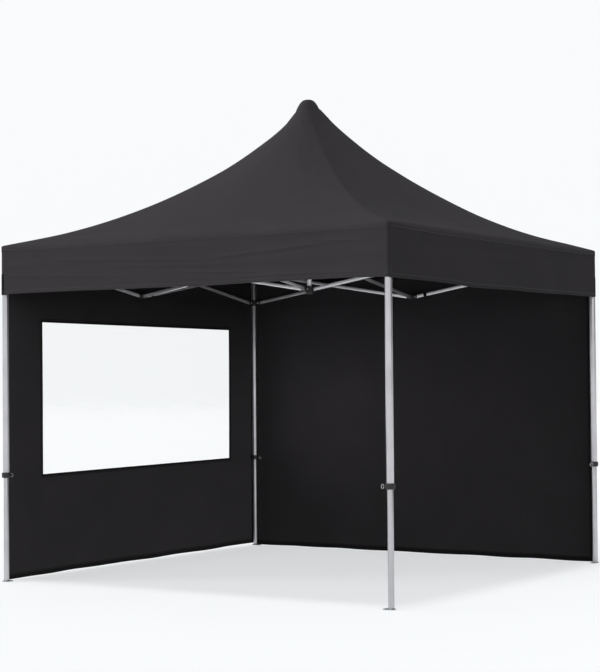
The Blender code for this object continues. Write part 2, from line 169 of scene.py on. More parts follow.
def add(tree, kind, sockets=None, stops=(), **settings):
    """Adds one node, sets it up and fills its sockets with values or links.

    stops are the (place, hex) pairs of a node with a colour ramp.
    """
    made = tree.nodes.new(kind)
    for index, (place, shade) in enumerate(stops):
        if index > 1:
            made.color_ramp.elements.new(place)
        made.color_ramp.elements[index].position = place
        made.color_ramp.elements[index].color = colour(shade)
    for name, value in settings.items():
        setattr(made, name, value)
    for key, value in (sockets or {}).items():
        if isinstance(value, bpy.types.NodeSocket):
            tree.links.new(value, made.inputs[key])
        else:
            made.inputs[key].default_value = value
    return made


def new_finish(name, **shader_values):
    """An empty material with its shader's own sockets set."""
    made = bpy.data.materials.new(name)
    made.use_nodes = True
    shader = made.node_tree.nodes["Principled BSDF"]
    for key, value in shader_values.items():
        shader.inputs[key.replace("_", " ")].default_value = value
    return made, made.node_tree, shader


# Camera

CAMERA_PLACE = (6.3725, -10.0438, 1.2928)
CAMERA_AZIMUTH = math.radians(32.7216)
CAMERA_PITCH = math.radians(1.5629)
CAMERA_ROLL = math.radians(-0.4652)
CAMERA_LENS = 92.68

camera = bpy.data.objects.new("camera", bpy.data.cameras.new("camera"))
scene.collection.objects.link(camera)
camera.data.lens = CAMERA_LENS
camera.data.sensor_width = 36.0
aim = Vector(
    (
        -math.sin(CAMERA_AZIMUTH) * math.cos(CAMERA_PITCH),
        math.cos(CAMERA_AZIMUTH) * math.cos(CAMERA_PITCH),
        math.sin(CAMERA_PITCH),
    )
)
turning = aim.to_track_quat("-Z", "Y").to_matrix().to_4x4()
roll = Matrix.Rotation(CAMERA_ROLL, 4, "Z")
camera.matrix_world = Matrix.Translation(CAMERA_PLACE) @ turning @ roll
camera.data.clip_end = 200.0
scene.camera = camera
scene.view_settings.view_transform = "Standard"


# Finishes


def woven_polyester(name, low, high, thread, sheen, wrinkle):
    """Tightly woven coated polyester: matt, with a soft sheen; its colour is lighter on the ridges of its
    folds, partly dust and partly a painted highlight.

    Its threads are 0.4 mm apart and are drawn at the given spacing so that they show.
    """
    made, tree, shader = new_finish(
        name, Roughness=0.9, Sheen_Weight=sheen, Sheen_Roughness=0.45, Specular_IOR_Level=0.01
    )
    shader.inputs["IOR"].default_value = 1.46
    place = add(tree, "ShaderNodeUVMap", uv_map="cloth")
    turn = add(tree, "ShaderNodeMapping", {"Vector": place.outputs["UV"]})
    turn.inputs["Rotation"].default_value = (0.0, 0.0, QUARTER_TURN)
    bands = 2 * math.pi / (20 * thread)
    warp = add(
        tree,
        "ShaderNodeTexWave",
        {"Vector": place.outputs["UV"], "Scale": bands, "Distortion": 0.6, "Detail": 1.0},
    )
    weft = add(
        tree,
        "ShaderNodeTexWave",
        {"Vector": turn.outputs["Vector"], "Scale": bands, "Distortion": 0.6, "Detail": 1.0},
    )
    weave = add(
        tree,
        "ShaderNodeMath",
        {0: warp.outputs["Fac"], 1: weft.outputs["Fac"]},
        operation="MULTIPLY",
    )
    crease = add(
        tree,
        "ShaderNodeTexNoise",
        {"Vector": place.outputs["UV"], "Scale": 2.6, "Detail": 5.0, "Distortion": 0.8},
    )
    slub = add(
        tree,
        "ShaderNodeTexNoise",
        {"Vector": place.outputs["UV"], "Scale": 90.0, "Detail": 2.0},
    )
    # the colour follows the folds' height, low in their hollows and high on their ridges: partly dust, partly
    # a painted highlight on the ridges
    stops = ((0.30, low), (0.72, high))
    shade = add(tree, "ShaderNodeValToRGB", {"Fac": crease.outputs["Fac"]}, stops=stops)
    ridge_highlight_and_slub = add(
        tree,
        "ShaderNodeMix",
        {0: slub.outputs["Fac"], 6: shade.outputs["Color"], 7: colour(low)},
        data_type="RGBA",
    )
    tree.links.new(ridge_highlight_and_slub.outputs[2], shader.inputs["Base Color"])
    folds = add(
        tree,
        "ShaderNodeBump",
        {"Height": crease.outputs["Fac"], "Strength": wrinkle, "Distance": 0.02},
    )
    threads = add(
        tree,
        "ShaderNodeBump",
        {
            "Height": weave.outputs["Value"],
            "Strength": 0.35,
            "Distance": thread * 0.2,
            "Normal": folds.outputs["Normal"],
        },
    )
    tree.links.new(threads.outputs["Normal"], shader.inputs["Normal"])
    return made


def drawn_aluminium(name, low, high, rough, along):
    """Drawn and anodised aluminium: satin, with fine die lines along its length.

    The lines are about 0.2 mm wide and are drawn 2 mm wide. along is 0 for pieces that
    stand and read Object coordinates, and 1 for bars, which read their own map.
    """
    made, tree, shader = new_finish(name, Metallic=1.0)
    stretch = (500.0, 500.0, 3.0)
    if along:
        source = add(tree, "ShaderNodeUVMap", uv_map="cloth").outputs["UV"]
        stretch = (3.0, 500.0, 1.0)
    else:
        source = add(tree, "ShaderNodeTexCoord").outputs["Object"]
    streaked = add(tree, "ShaderNodeMapping", {"Vector": source, "Scale": stretch})
    lines = add(
        tree,
        "ShaderNodeTexNoise",
        {"Vector": streaked.outputs["Vector"], "Scale": 1.0, "Detail": 3.0},
    )
    handling = add(tree, "ShaderNodeTexNoise", {"Vector": source, "Scale": 7.0, "Detail": 4.0})
    stops = ((0.35, low), (0.65, high))
    shade = add(tree, "ShaderNodeValToRGB", {"Fac": handling.outputs["Fac"]}, stops=stops)
    tree.links.new(shade.outputs["Color"], shader.inputs["Base Color"])
    matt = add(
        tree,
        "ShaderNodeMapRange",
        {"Value": lines.outputs["Fac"], 3: rough - 0.07, 4: rough + 0.10},
    )
    tree.links.new(matt.outputs[0], shader.inputs["Roughness"])
    relief = add(
        tree,
        "ShaderNodeBump",
        {"Height": lines.outputs["Fac"], "Strength": 0.12, "Distance": 0.0005},
    )
    tree.links.new(relief.outputs["Normal"], shader.inputs["Normal"])
    return made


def moulded_nylon():
    """Injection moulded glass filled nylon: near black, spark textured, cloudy in tone and gloss."""
    made, tree, shader = new_finish("moulded_nylon", IOR=1.53, Roughness=0.5)
    place = add(tree, "ShaderNodeTexCoord").outputs["Object"]
    grit = add(tree, "ShaderNodeTexVoronoi", {"Vector": place, "Scale": 900.0})
    cloudy = add(tree, "ShaderNodeTexNoise", {"Vector": place, "Scale": 45.0, "Detail": 4.0})
    stops = ((0.35, "#131314"), (0.7, "#232325"))
    shade = add(tree, "ShaderNodeValToRGB", {"Fac": cloudy.outputs["Fac"]}, stops=stops)
    tree.links.new(shade.outputs["Color"], shader.inputs["Base Color"])
    rub = add(tree, "ShaderNodeMapRange", {"Value": cloudy.outputs["Fac"], 3: 0.42, 4: 0.62})
    tree.links.new(rub.outputs[0], shader.inputs["Roughness"])
    # the spark texture is 0.1 mm grit, drawn about 1 mm across
    relief = add(
        tree,
        "ShaderNodeBump",
        {"Height": grit.outputs["Distance"], "Strength": 0.2, "Distance": 0.0003},
    )
    tree.links.new(relief.outputs["Normal"], shader.inputs["Normal"])
    return made


def zinc_plated_steel():
    """Bright zinc plated steel: grey with a faint cloudiness of the passivation."""
    made, tree, shader = new_finish("zinc_plated_steel", Metallic=1.0, Roughness=0.3)
    place = add(tree, "ShaderNodeTexCoord").outputs["Object"]
    cloudy = add(tree, "ShaderNodeTexNoise", {"Vector": place, "Scale": 160.0, "Detail": 4.0})
    stops = ((0.3, "#a4a6a9"), (0.7, "#c9cbce"))
    shade = add(tree, "ShaderNodeValToRGB", {"Fac": cloudy.outputs["Fac"]}, stops=stops)
    tree.links.new(shade.outputs["Color"], shader.inputs["Base Color"])
    dull = add(tree, "ShaderNodeMapRange", {"Value": cloudy.outputs["Fac"], 3: 0.24, 4: 0.46})
    tree.links.new(dull.outputs[0], shader.inputs["Roughness"])
    return made


def galvanised_steel():
    """Hot dip galvanised steel plate: grey spangles some 8 mm across."""
    made, tree, shader = new_finish("galvanised_steel", Metallic=1.0)
    place = add(tree, "ShaderNodeTexCoord").outputs["Object"]
    spangle = add(tree, "ShaderNodeTexVoronoi", {"Vector": place, "Scale": 120.0})
    stops = ((0.1, "#8d9093"), (0.8, "#aeb0b2"))
    shade = add(tree, "ShaderNodeValToRGB", {"Fac": spangle.outputs["Distance"]}, stops=stops)
    tree.links.new(shade.outputs["Color"], shader.inputs["Base Color"])
    dull = add(tree, "ShaderNodeMapRange", {"Value": spangle.outputs["Distance"], 3: 0.38, 4: 0.6})
    tree.links.new(dull.outputs[0], shader.inputs["Roughness"])
    return made


def clear_vinyl():
    """Clear calendered PVC sheet: nearly invisible, glossy, with faint ripples."""
    made, tree, shader = new_finish(
        "clear_vinyl",
        IOR=1.28,
        Roughness=0.04,
        Base_Color=colour("#ffffff"),
        Transmission_Weight=1.0,
        Specular_IOR_Level=0.12,
    )
    place = add(tree, "ShaderNodeUVMap", uv_map="cloth")
    stretched = add(
        tree, "ShaderNodeMapping", {"Vector": place.outputs["UV"], "Scale": (1.0, 2.5, 1.0)}
    )
    ripple = add(
        tree,
        "ShaderNodeTexNoise",
        {"Vector": stretched.outputs["Vector"], "Scale": 3.0, "Detail": 2.0},
    )
    relief = add(
        tree,
        "ShaderNodeBump",
        {"Height": ripple.outputs["Fac"], "Strength": 0.04, "Distance": 0.01},
    )
    tree.links.new(relief.outputs["Normal"], shader.inputs["Normal"])
    haze = add(tree, "ShaderNodeMapRange", {"Value": ripple.outputs["Fac"], 3: 0.07, 4: 0.10})
    tree.links.new(haze.outputs[0], shader.inputs["Roughness"])
    return made


def spun_thread():
    """Bonded polyester sewing thread: black with a slight gloss, twisted plies."""
    made, tree, shader = new_finish("sewing_thread", Roughness=0.55, Sheen_Weight=0.3)
    place = add(tree, "ShaderNodeTexCoord").outputs["Object"]
    # the plies are 0.2 mm wide, drawn 2 mm wide
    plies = add(tree, "ShaderNodeTexWave", {"Vector": place, "Scale": 150.0, "Distortion": 2.0})
    stops = ((0.2, "#2b2a2b"), (0.8, "#454345"))
    shade = add(tree, "ShaderNodeValToRGB", {"Fac": plies.outputs["Fac"]}, stops=stops)
    tree.links.new(shade.outputs["Color"], shader.inputs["Base Color"])
    return made


# each cloth's second colour is the one on its fold ridges, partly dust and partly a painted highlight
ROOF_CLOTH = woven_polyester("coated_polyester_roof", "#403e40", "#474447", 0.007, 0.003, 0.25)
VALANCE_CLOTH = woven_polyester("coated_polyester_valance", "#403e40", "#474447", 0.007, 0.003, 0.3)
WALL_CLOTH = woven_polyester("coated_polyester_wall", "#3c3a3c", "#444144", 0.007, 0.003, 0.3)
TAPE = woven_polyester("binding_tape", "#1f1e1f", "#2a292a", 0.004, 0.10, 0.1)
WEBBING = woven_polyester("polyester_webbing", "#19191a", "#242425", 0.005, 0.15, 0.1)
LEG_METAL = drawn_aluminium("anodised_aluminium_tube", "#c0bfc2", "#cccbce", 0.38, 0)
INNER_METAL = drawn_aluminium("plain_aluminium_tube", "#bcbbbe", "#c8c7ca", 0.40, 0)
# the bars are the legs' anodised aluminium drawn near white, a painted light that stands in for light on bars
# which sit in the shade under the canopy
LIGHTENED_BAR_METAL = drawn_aluminium("anodised_aluminium_bar_lightened", "#e9e8ea", "#f2f1f3", 0.42, 1)
NYLON = moulded_nylon()
ZINC = zinc_plated_steel()
GALVANISED = galvanised_steel()
VINYL = clear_vinyl()
THREAD = spun_thread()


# Making


def turned(point, turn):
    x, y, z = point
    for _ in range(turn % 4):
        x, y = -y, x
    return Vector((x, y, z))


def link(name, mesh, *materials):
    for material in materials:
        mesh.materials.append(material)
    made = bpy.data.objects.new(name, mesh)
    scene.collection.objects.link(made)
    return made


def from_bmesh(name, built, *materials, sharp=35):
    mesh = bpy.data.meshes.new(name)
    built.to_mesh(mesh)
    built.free()
    mesh.shade_smooth()
    mesh.set_sharp_from_angle(angle=math.radians(sharp))
    return link(name, mesh, *materials)


def cloth_piece(name, surface, across, up, size, thickness, material, turn=0, lengths=None):
    """A sheet with a thickness from a surface function, shaded by the surface itself.

    across and up are the places where the surface is read, and size is the pair of
    metres that one unit of each stands for on the cloth's own map. lengths gives the
    metres of each row where the rows aren't even.
    """
    across, up = np.asarray(across, float), np.asarray(up, float)
    step_a = (across[-1] - across[0]) * 1e-3
    step_u = (up[-1] - up[0]) * 1e-3
    columns, rows = len(across), len(up)
    outer, normals = [], []
    for v in up:
        for u in across:
            here = surface(u, v)
            side = surface(u + step_a, v) - surface(u - step_a, v)
            rise = surface(u, v + step_u) - surface(u, v - step_u)
            normal = side.cross(rise).normalized()
            outer.append(turned(here, turn))
            normals.append(turned(normal, turn))
    inner = [p - n * thickness for p, n in zip(outer, normals)]
    count = columns * rows
    faces, kinds = [], []
    for row in range(rows - 1):
        for column in range(columns - 1):
            a = row * columns + column
            quad = (a, a + 1, a + 1 + columns, a + columns)
            faces.append(quad)
            kinds.append(1)
            faces.append(tuple(count + i for i in reversed(quad)))
            kinds.append(-1)
    rim = [(i, i + 1) for i in range(columns - 1)]
    rim += [
        (columns - 1 + r * columns, columns - 1 + (r + 1) * columns) for r in range(rows - 1)
    ]
    top = (rows - 1) * columns
    rim += [(top + i + 1, top + i) for i in reversed(range(columns - 1))]
    rim += [((r + 1) * columns, r * columns) for r in reversed(range(rows - 1))]
    for a, b in rim:
        faces.append((b, a, a + count, b + count))
        kinds.append(0)
    mesh = bpy.data.meshes.new(name)
    mesh.from_pydata(outer + inner, [], faces)
    map_of = mesh.uv_layers.new(name="cloth")
    shading = []
    for face, kind in zip(mesh.polygons, kinds):
        for loop in face.loop_indices:
            vertex = mesh.loops[loop].vertex_index % count
            row, column = divmod(vertex, columns)
            along = up[row] * size[1] if lengths is None else lengths[row]
            map_of.data[loop].uv = (across[column] * size[0], along)
            shading.append(normals[vertex] * kind if kind else face.normal.copy())
    mesh.shade_smooth()
    mesh.normals_split_custom_set(shading)
    return link(name, mesh, material)


def prism(built, outline, start, end, across, hole=None, rounding=0.0):
    """A tube or bar between two points. The outline is in (across, third) directions."""
    start, end, across = Vector(start), Vector(end), Vector(across).normalized()
    along = (end - start).normalized()
    third = along.cross(across)
    length = (end - start).length
    marks = [(0.0, 0.0), (length, 0.0)]
    if rounding:
        marks = [
            (0.0, rounding),
            (rounding * 0.3, rounding * 0.3),
            (rounding, 0.0),
            (length - rounding, 0.0),
            (length - rounding * 0.3, rounding * 0.3),
            (length, rounding),
        ]

    def ring(points, mark, inset):
        made = []
        for a, b in points:
            size = math.hypot(a, b)
            share = (size - inset) / size
            spot = start + along * mark + across * (a * share) + third * (b * share)
            made.append(built.verts.new(spot))
        return made

    def skin(first, second):
        for i, a in enumerate(first):
            j = (i + 1) % len(first)
            built.faces.new((a, first[j], second[j], second[i]))

    rings = [ring(outline, mark, inset) for mark, inset in marks]
    for one, two in zip(rings, rings[1:]):
        skin(one, two)
    if hole is None:
        built.faces.new(list(reversed(rings[0])))
        built.faces.new(rings[-1])
        return
    near, far = ring(hole, 0.0, 0.0), ring(hole, length, 0.0)
    skin(far, near)
    skin(near, rings[0])
    skin(rings[-1], far)


def octagon(flats, soft=0.0):
    """An eight sided section from its width over the flats, with softened corners."""
    corner = flats / 2 / math.cos(math.pi / 8)
    points = []
    for i in range(8):
        angle = math.pi / 8 + i * math.pi / 4
        if not soft:
            points.append((corner * math.cos(angle), corner * math.sin(angle)))
            continue
        for bend in (-1, -0.4, 0.4, 1):
            turn = angle + bend * soft
            reach = flats / 2 / math.cos(math.pi / 8 - abs(bend) * soft)
            if abs(bend) < 1:
                reach *= 0.994
            points.append((reach * math.cos(turn), reach * math.sin(turn)))
    return points


def rounded_section(width, height, radius, steps=3):
    points = []
    for quarter, (sx, sy) in enumerate(((1, 1), (-1, 1), (-1, -1), (1, -1))):
        for step in range(steps + 1):
            angle = quarter * QUARTER_TURN + step * QUARTER_TURN / steps
            x = sx * (width / 2 - radius) + radius * math.cos(angle)
            y = sy * (height / 2 - radius) + radius * math.sin(angle)
            points.append((x, y))
    return points


def lathe(built, profile, middle, segments=24):
    """Turns a profile of (radius, height) about the vertical through middle."""
    middle = Vector(middle)
    rings = []
    for radius, height in profile:
        if radius < 1e-6:
            rings.append([built.verts.new(middle + Vector((0.0, 0.0, height)))])
            continue
        ring = []
        for i in range(segments):
            angle = i * math.tau / segments
            spot = Vector((radius * math.cos(angle), radius * math.sin(angle), height))
            ring.append(built.verts.new(middle + spot))
        rings.append(ring)
    for lower, upper in zip(rings, rings[1:]):
        for i in range(segments):
            j = (i + 1) % segments
            if len(lower) == 1 and len(upper) == 1:
                continue
            if len(lower) == 1:
                built.faces.new((lower[0], upper[j], upper[i]))
            elif len(upper) == 1:
                built.faces.new((lower[i], lower[j], upper[0]))
            else:
                built.faces.new((lower[i], lower[j], upper[j], upper[i]))
    bmesh.ops.recalc_face_normals(built, faces=built.faces)


def place_turned(built, turn):
    """Turns all of a mesh by quarter turns about the middle of the tent."""
    matrix = Matrix.Rotation(turn * QUARTER_TURN, 4, "Z")
    bmesh.ops.transform(built, matrix=matrix, verts=built.verts)


# Canopy


def outline(u, inset=0.0):
    """The eave's plan on the front side, u from corner to corner, moved in by inset."""
    run = abs(u) * HALF_RUN
    sign = 1.0 if u >= 0 else -1.0
    radius = CORNER_ROUND - inset
    if run <= LEG:
        bow = EAVE_BOW * (1 - (run / LEG) ** 4)
        return Vector((sign * run, -(LEG + radius + bow), 0.0))
    angle = (run - LEG) / CORNER_ROUND
    x, y = LEG + radius * math.sin(angle), -(LEG + radius * math.cos(angle))
    return Vector((sign * x, y, 0.0))


def hip_rise(share):
    """Share of the rise on the way from the eave to the peak, smooth and never falling."""
    knots = HIP_PROFILE
    slopes = [(b[1] - a[1]) / (b[0] - a[0]) for a, b in zip(knots, knots[1:])]
    ends = [slopes[0]]
    ends += [2 * a * b / (a + b) for a, b in zip(slopes, slopes[1:])]
    ends.append(slopes[-1])
    index = 0
    while index < len(slopes) - 1 and share > knots[index + 1][0]:
        index += 1
    (x0, y0), (x1, y1) = knots[index], knots[index + 1]
    width = x1 - x0
    t = (share - x0) / width
    return (
        (2 * t**3 - 3 * t**2 + 1) * y0
        + (t**3 - 2 * t**2 + t) * width * ends[index]
        + (3 * t**2 - 2 * t**3) * y1
        + (t**3 - t**2) * width * ends[index + 1]
    )


# Tension creases of the front side: both ends as (along, height), half width and height
CREASES = (
    ((0.36, 2.066), (1.02, 2.106), 0.011, 0.0042),
    ((1.00, 2.128), (1.25, 2.118), 0.008, 0.0026),
    ((-0.82, 2.094), (0.02, 2.060), 0.010, 0.0026),
    ((-0.50, 2.040), (0.24, 2.020), 0.009, 0.0022),
    ((0.02, 1.985), (0.50, 1.962), 0.009, 0.0024),
    ((0.55, 1.935), (1.36, 1.925), 0.010, 0.0022),
    ((-1.30, 2.010), (-0.55, 1.975), 0.012, 0.0020),
)


def creased(along, height):
    total = 0.0
    for (x0, z0), (x1, z1), width, rise in CREASES:
        share = (along - x0) / (x1 - x0)
        if -0.25 < share < 1.25:
            off = (height - z0 - (z1 - z0) * share) / width
            ends = max(0.0, 1 - abs(2 * share - 1) ** 3 / 3.4)
            total += rise * ends * (math.exp(-off * off) - 0.55 * math.exp(-((off + 1.6) ** 2)))
    return total


def wrinkle(point, seed):
    """Soft tension creases that lie along the eave, with a slow swell of the cloth."""
    x, y, z = point
    slow = noise.noise(Vector((x * 1.3, y * 1.3, z * 2.0 + seed)))
    crease = noise.noise(Vector((x * 1.1 + seed, y * 1.1, z * 17.0)))
    low = max(0.0, 1 - abs(z - 2.10) / 0.40)
    made = 0.004 * slow + 0.0050 * low * crease
    if y < -1.3 and z < 2.25:
        made += creased(x, z)
    return made


def shoulder(u):
    """The radius at which the roof turns down: tight over a leg, soft between them."""
    return CORNER_SHOULDER + (SIDE_SHOULDER - CORNER_SHOULDER) * (1 - abs(u) ** 8)


def roof_start(u):
    """Share of the way in, and height, at which the roof's even slope begins."""
    share = shoulder(u) * (1 - math.sin(SHOULDER_SLOPE)) / (LEG + CORNER_ROUND)
    return share, EAVE_Z + (PEAK_Z - EAVE_Z) * hip_rise(share)


def roof_base(u, v):
    """The roof's front face: v 0 to 1 from shoulder to tip, and 0 to -1 down to the seam."""
    start, start_z = roof_start(u)
    edge = outline(u)
    if v < 0:
        radius = shoulder(u)
        angle = SHOULDER_SLOPE + (QUARTER_TURN - SHOULDER_SLOPE) * min(1.0, -v / 0.85)
        inset = radius * (1 - math.sin(angle))
        spot = edge * (1 - inset / (LEG + CORNER_ROUND))
        spot.z = start_z - radius * (math.cos(SHOULDER_SLOPE) - math.cos(angle))
        if -v > 0.85:
            spot.z += (SEAM_Z - spot.z) * (-v - 0.85) / 0.15
        return spot
    share = start + v * (TIP_SHARE - start)
    size = edge.length
    full = math.sqrt(2) * LEG + CORNER_ROUND
    rounding = (share - start) ** ROUNDING_POWER if share > start else 0.0
    reach = (1 - share) * ((1 - rounding) * size + rounding * full)
    spot = edge * (reach / size)
    spot.z = EAVE_Z + (PEAK_Z - EAVE_Z) * hip_rise(share)
    return spot


def roof_shape(u, v, turn):
    """The roof of one side, with the back right hip, which sags less than the others."""
    spot = roof_base(u, v)
    real = turned(spot, turn)
    facing = max(0.0, (real.x + real.y) / (math.hypot(real.x, real.y) * math.sqrt(2)))
    shares, rises = zip(*FULL_HIP)
    spot.z += float(np.interp(max(0.0, v), shares, rises)) * facing**4
    return spot


def roof_surface(turn):
    def surface(u, v):
        spot = roof_shape(u, v, turn)
        real = turned(spot, turn)
        fade = min(1.0, max(0.0, (1.0 - v) * 6)) * min(1.0, max(0.0, (1.0 - abs(u)) * 12))
        out = Vector((spot.x, spot.y, 0.0))
        out.normalize()
        direction = (out * 0.4 + Vector((0.0, 0.0, 0.9))).normalized()
        if v < 0.03:
            share = max(0.0, min(1.0, (v + 1) / 1.03))
            direction = (out * (1 - 0.6 * share) + Vector((0.0, 0.0, 0.9 * share))).normalized()
        return spot + direction * (wrinkle(real, 0.0) * fade)

    return surface


def valance_swell(real, z):
    """How far the hanging band stands out of its plane, growing towards its free edge."""
    free = (SEAM_Z - z) / (SEAM_Z - VALANCE_BOTTOM_Z)
    wave = noise.noise(Vector((real.x * 1.7, real.y * 1.7, 7.0)))
    small = noise.noise(Vector((real.x * 5.0, real.y * 5.0, z * 1.5)))
    return max(0.0, free) ** 1.2 * (0.007 * wave + 0.003 * small)


def valance_surface(turn, out=0.0):
    """u along the side, v in metres up from the hem."""

    def surface(u, v):
        spot = outline(u, 0.0018 - out)
        spot.z = VALANCE_BOTTOM_Z + v
        real = turned(spot, turn)
        fade = min(1.0, max(0.0, (1.0 - abs(u)) * 14))
        ripple = noise.noise(Vector((real.x * 2.3, real.y * 2.3, 3.0)))
        low = max(0.0, 1 - v / 0.25)
        spot.z += 0.003 * ripple * fade * low
        if turn < 2:
            places, drops = zip(*(FRONT_HANG, RIGHT_HANG)[turn])
            spot.z += float(np.interp(spot.x, places, drops)) * low
        push = valance_swell(real, spot.z) + wrinkle(real, 0.0) * 0.8
        direction = Vector((spot.x, spot.y, 0.0)).normalized()
        if abs(u) < ARC_START:
            direction = Vector((0.0, -1.0, 0.0))
        return spot + direction * (push * fade)

    return surface


SIDE_COLUMNS = np.concatenate(
    [
        np.linspace(-1.0, -ARC_START, 5)[:-1],
        np.linspace(-ARC_START, ARC_START, 121),
        np.linspace(ARC_START, 1.0, 5)[1:],
    ]
)


def fold_side(piece, side, turn):
    """The piece goes in with the middle of its side."""
    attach(piece, f"{side}_mid_upper")
    axis = turned((1.0, 0.0, 0.0), turn)
    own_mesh(piece)


def fold_gore(piece, u, turn):
    """The piece drops with the lower hub."""
    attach(piece, "lower_hub")
    edge = outline(u)
    start = Vector((edge.x, edge.y, EAVE_Z))
    gathered = edge.normalized() * GATHER_RADIUS
    gathered.z = EAVE_Z - GATHER_TUCK
    travel = gathered - start + Vector((0.0, 0.0, FOLD_DROP))
    axis = travel.normalized()
    anchor = start + axis * (travel.length / (1 - GATHER_KEEP))
    turned(axis, turn)
    turned(anchor, turn)
    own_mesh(piece)


def roof_rows():
    shares = np.linspace(0.0, 1.0, 46)
    eased = 0.5 * (1 - np.cos(np.pi * shares)) * 0.5 + shares * 0.5
    drops = -np.array([1.0, 0.92, 0.85, 0.72, 0.60, 0.48, 0.36, 0.24, 0.12])
    return np.concatenate([drops, eased])


def canopy():
    for turn, side in enumerate(SIDES):
        surface = roof_surface(turn)
        marks = np.linspace(-1.0, 1.0, GORES + 1)
        for gore, (low, high) in enumerate(zip(marks, marks[1:])):
            across = np.linspace(low, high, 11)
            if gore == 0:
                arc = np.linspace(-1.0, -ARC_START, 5)
                across = np.concatenate([arc, np.linspace(-ARC_START, high, 11)[1:]])
            if gore == GORES - 1:
                arc = np.linspace(ARC_START, 1.0, 5)
                across = np.concatenate([np.linspace(low, ARC_START, 11)[:-1], arc])
            name = f"{side}_roof_gore_{gore + 1}"
            rows = roof_rows()
            middle = (low + high) / 2
            spots = [surface(middle, v) for v in rows]
            steps = [(b - a).length for a, b in zip(spots, spots[1:])]
            lengths = np.concatenate([[0.0], np.cumsum(steps)])
            piece = cloth_piece(
                name, surface, across, rows, (HALF_RUN, 1.0), CLOTH, ROOF_CLOTH, turn, lengths
            )
            area = sum(
                (surface(high, (a + b) / 2) - surface(low, (a + b) / 2)).length * step
                for a, b, step in zip(rows, rows[1:], steps)
            )
            fold_gore(piece, (low + high) / 2, turn)
    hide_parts("canopy_roof")


def side_sheets():
    for turn, side in enumerate(SIDES):
        height = SEAM_Z + 0.004 - VALANCE_BOTTOM_Z
        band = cloth_piece(
            f"{side}_valance_band",
            valance_surface(turn),
            SIDE_COLUMNS,
            np.linspace(0.0, height, 44),
            (HALF_RUN, 1.0),
            CLOTH,
            VALANCE_CLOTH,
            turn,
        )
        hem = cloth_piece(
            f"{side}_valance_hem",
            valance_surface(turn, 0.0008),
            SIDE_COLUMNS,
            (-0.0012, 0.0, 0.012, 0.024, 0.0245),
            (HALF_RUN, 1.0),
            CLOTH + 0.0016,
            VALANCE_CLOTH,
            turn,
        )
        fold_side(band, side, turn)
        fold_side(hem, side, turn)
        if turn == 0:
            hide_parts("valance")


def tip_cap():
    """The reinforced cap over the mast, domed like the one in the photo."""
    around = 24
    rings = []
    for share, lift in ((0.930, -0.0010), (0.930, 0.0007), (0.940, 0.0009), (0.950, 0.0010), (0.9585, 0.0010)):
        ring = []
        for turn in range(4):
            for mark in range(around):
                u = -1 + 2 * mark / around
                start = roof_start(u)[0]
                part = (share - start) / (TIP_SHARE - start)
                spot = turned(roof_shape(u, part, turn), turn)
                out = Vector((spot.x, spot.y, 0.0)).normalized()
                ring.append(spot + (out * 0.8 + Vector((0.0, 0.0, 0.6))) * lift)
        rings.append(ring)
    last = rings[-1]
    radius = sum(math.hypot(p.x, p.y) for p in last) / len(last)
    top = sum(p.z for p in last) / len(last)
    for share, height in CAP_DOME:
        flatter = [Vector((p.x, p.y, 0.0)).normalized() * (radius * share) for p in last]
        rings.append([p + Vector((0.0, 0.0, top + (PEAK_Z - top) * height)) for p in flatter])
    built = bmesh.new()
    made = [[built.verts.new(p) for p in ring] for ring in rings]
    size = len(made[0])
    for low, high in zip(made, made[1:]):
        for i in range(size):
            built.faces.new((low[i], low[(i + 1) % size], high[(i + 1) % size], high[i]))
    built.faces.new(made[-1])
    within = [[built.verts.new(v.co * 1.0 - Vector((0.0, 0.0, 0.004))) for v in ring] for ring in made[:1]]
    for i in range(size):
        built.faces.new((made[0][(i + 1) % size], made[0][i], within[0][i], within[0][(i + 1) % size]))
    built.faces.new(list(reversed(within[0])))
    bmesh.ops.recalc_face_normals(built, faces=built.faces)
    layer = built.loops.layers.uv.new("cloth")
    for face in built.faces:
        for loop in face.loops:
            loop[layer].uv = (loop.vert.co.x, loop.vert.co.y)
    piece = from_bmesh("tip_cap", built, ROOF_CLOTH, sharp=60)
    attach(piece, "lower_hub")


# Walls


def wall_surface(turn, ends, out=0.0):
    """A wall on one side: u in metres along the side, v in metres up."""

    def surface(u, v):
        share = u / HALF_RUN
        spot = outline(max(-ARC_START, min(ARC_START, share)), WALL_INSET - out)
        spot.x = u
        free = 1 - v / WALL_TOP_Z
        real = turned(Vector((spot.x, spot.y, v)), turn)
        fold = noise.noise(Vector((real.x * 2.1, real.y * 2.1, 4.0 + v * 0.25)))
        sway = noise.noise(Vector((real.x * 0.9, real.y * 0.9, v * 0.9 + 9.0)))
        edge = min(1.0, (u - ends[0]) * 8 + 0.15, (ends[1] - u) * 8 + 0.15)
        push = (0.010 * fold * free + 0.006 * sway) * max(0.0, edge)
        spot.y -= min(push, 0.002 + 0.006 * free)
        beside_leg = max(0.0, min(1.0, (abs(u) - 1.34) / 0.08))
        tucked = max(0.0, min(1.0, (v - 1.80) / 0.10))
        spot.y += WALL_TUCK * tucked * (1 - beside_leg)
        spot.y -= FOOT_ROOM * max(0.0, 1 - v / 1.6) * beside_leg
        ripple = noise.noise(Vector((real.x * 3.1, real.y * 3.1, 1.0)))
        spot.z = v + 0.005 * ripple * max(0.0, 1 - v / 0.3)
        if turn == 3:
            heights, fronts, backs = zip(*LEFT_WALL_HANG)
            share = (u - ends[0]) / (ends[1] - ends[0])
            front, back = np.interp(v, heights, fronts), np.interp(v, heights, backs)
            spot.z += float(share * front + (1 - share) * back)
        return spot

    return surface


def wall_panel(name, turn, ends, across, up, material, thickness=CLOTH, out=0.0):
    surface = wall_surface(turn, ends, out)
    return cloth_piece(name, surface, across, up, (1.0, 1.0), thickness, material, turn)


def fold_wall(piece, side, turn):
    fold_side(piece, side, turn)


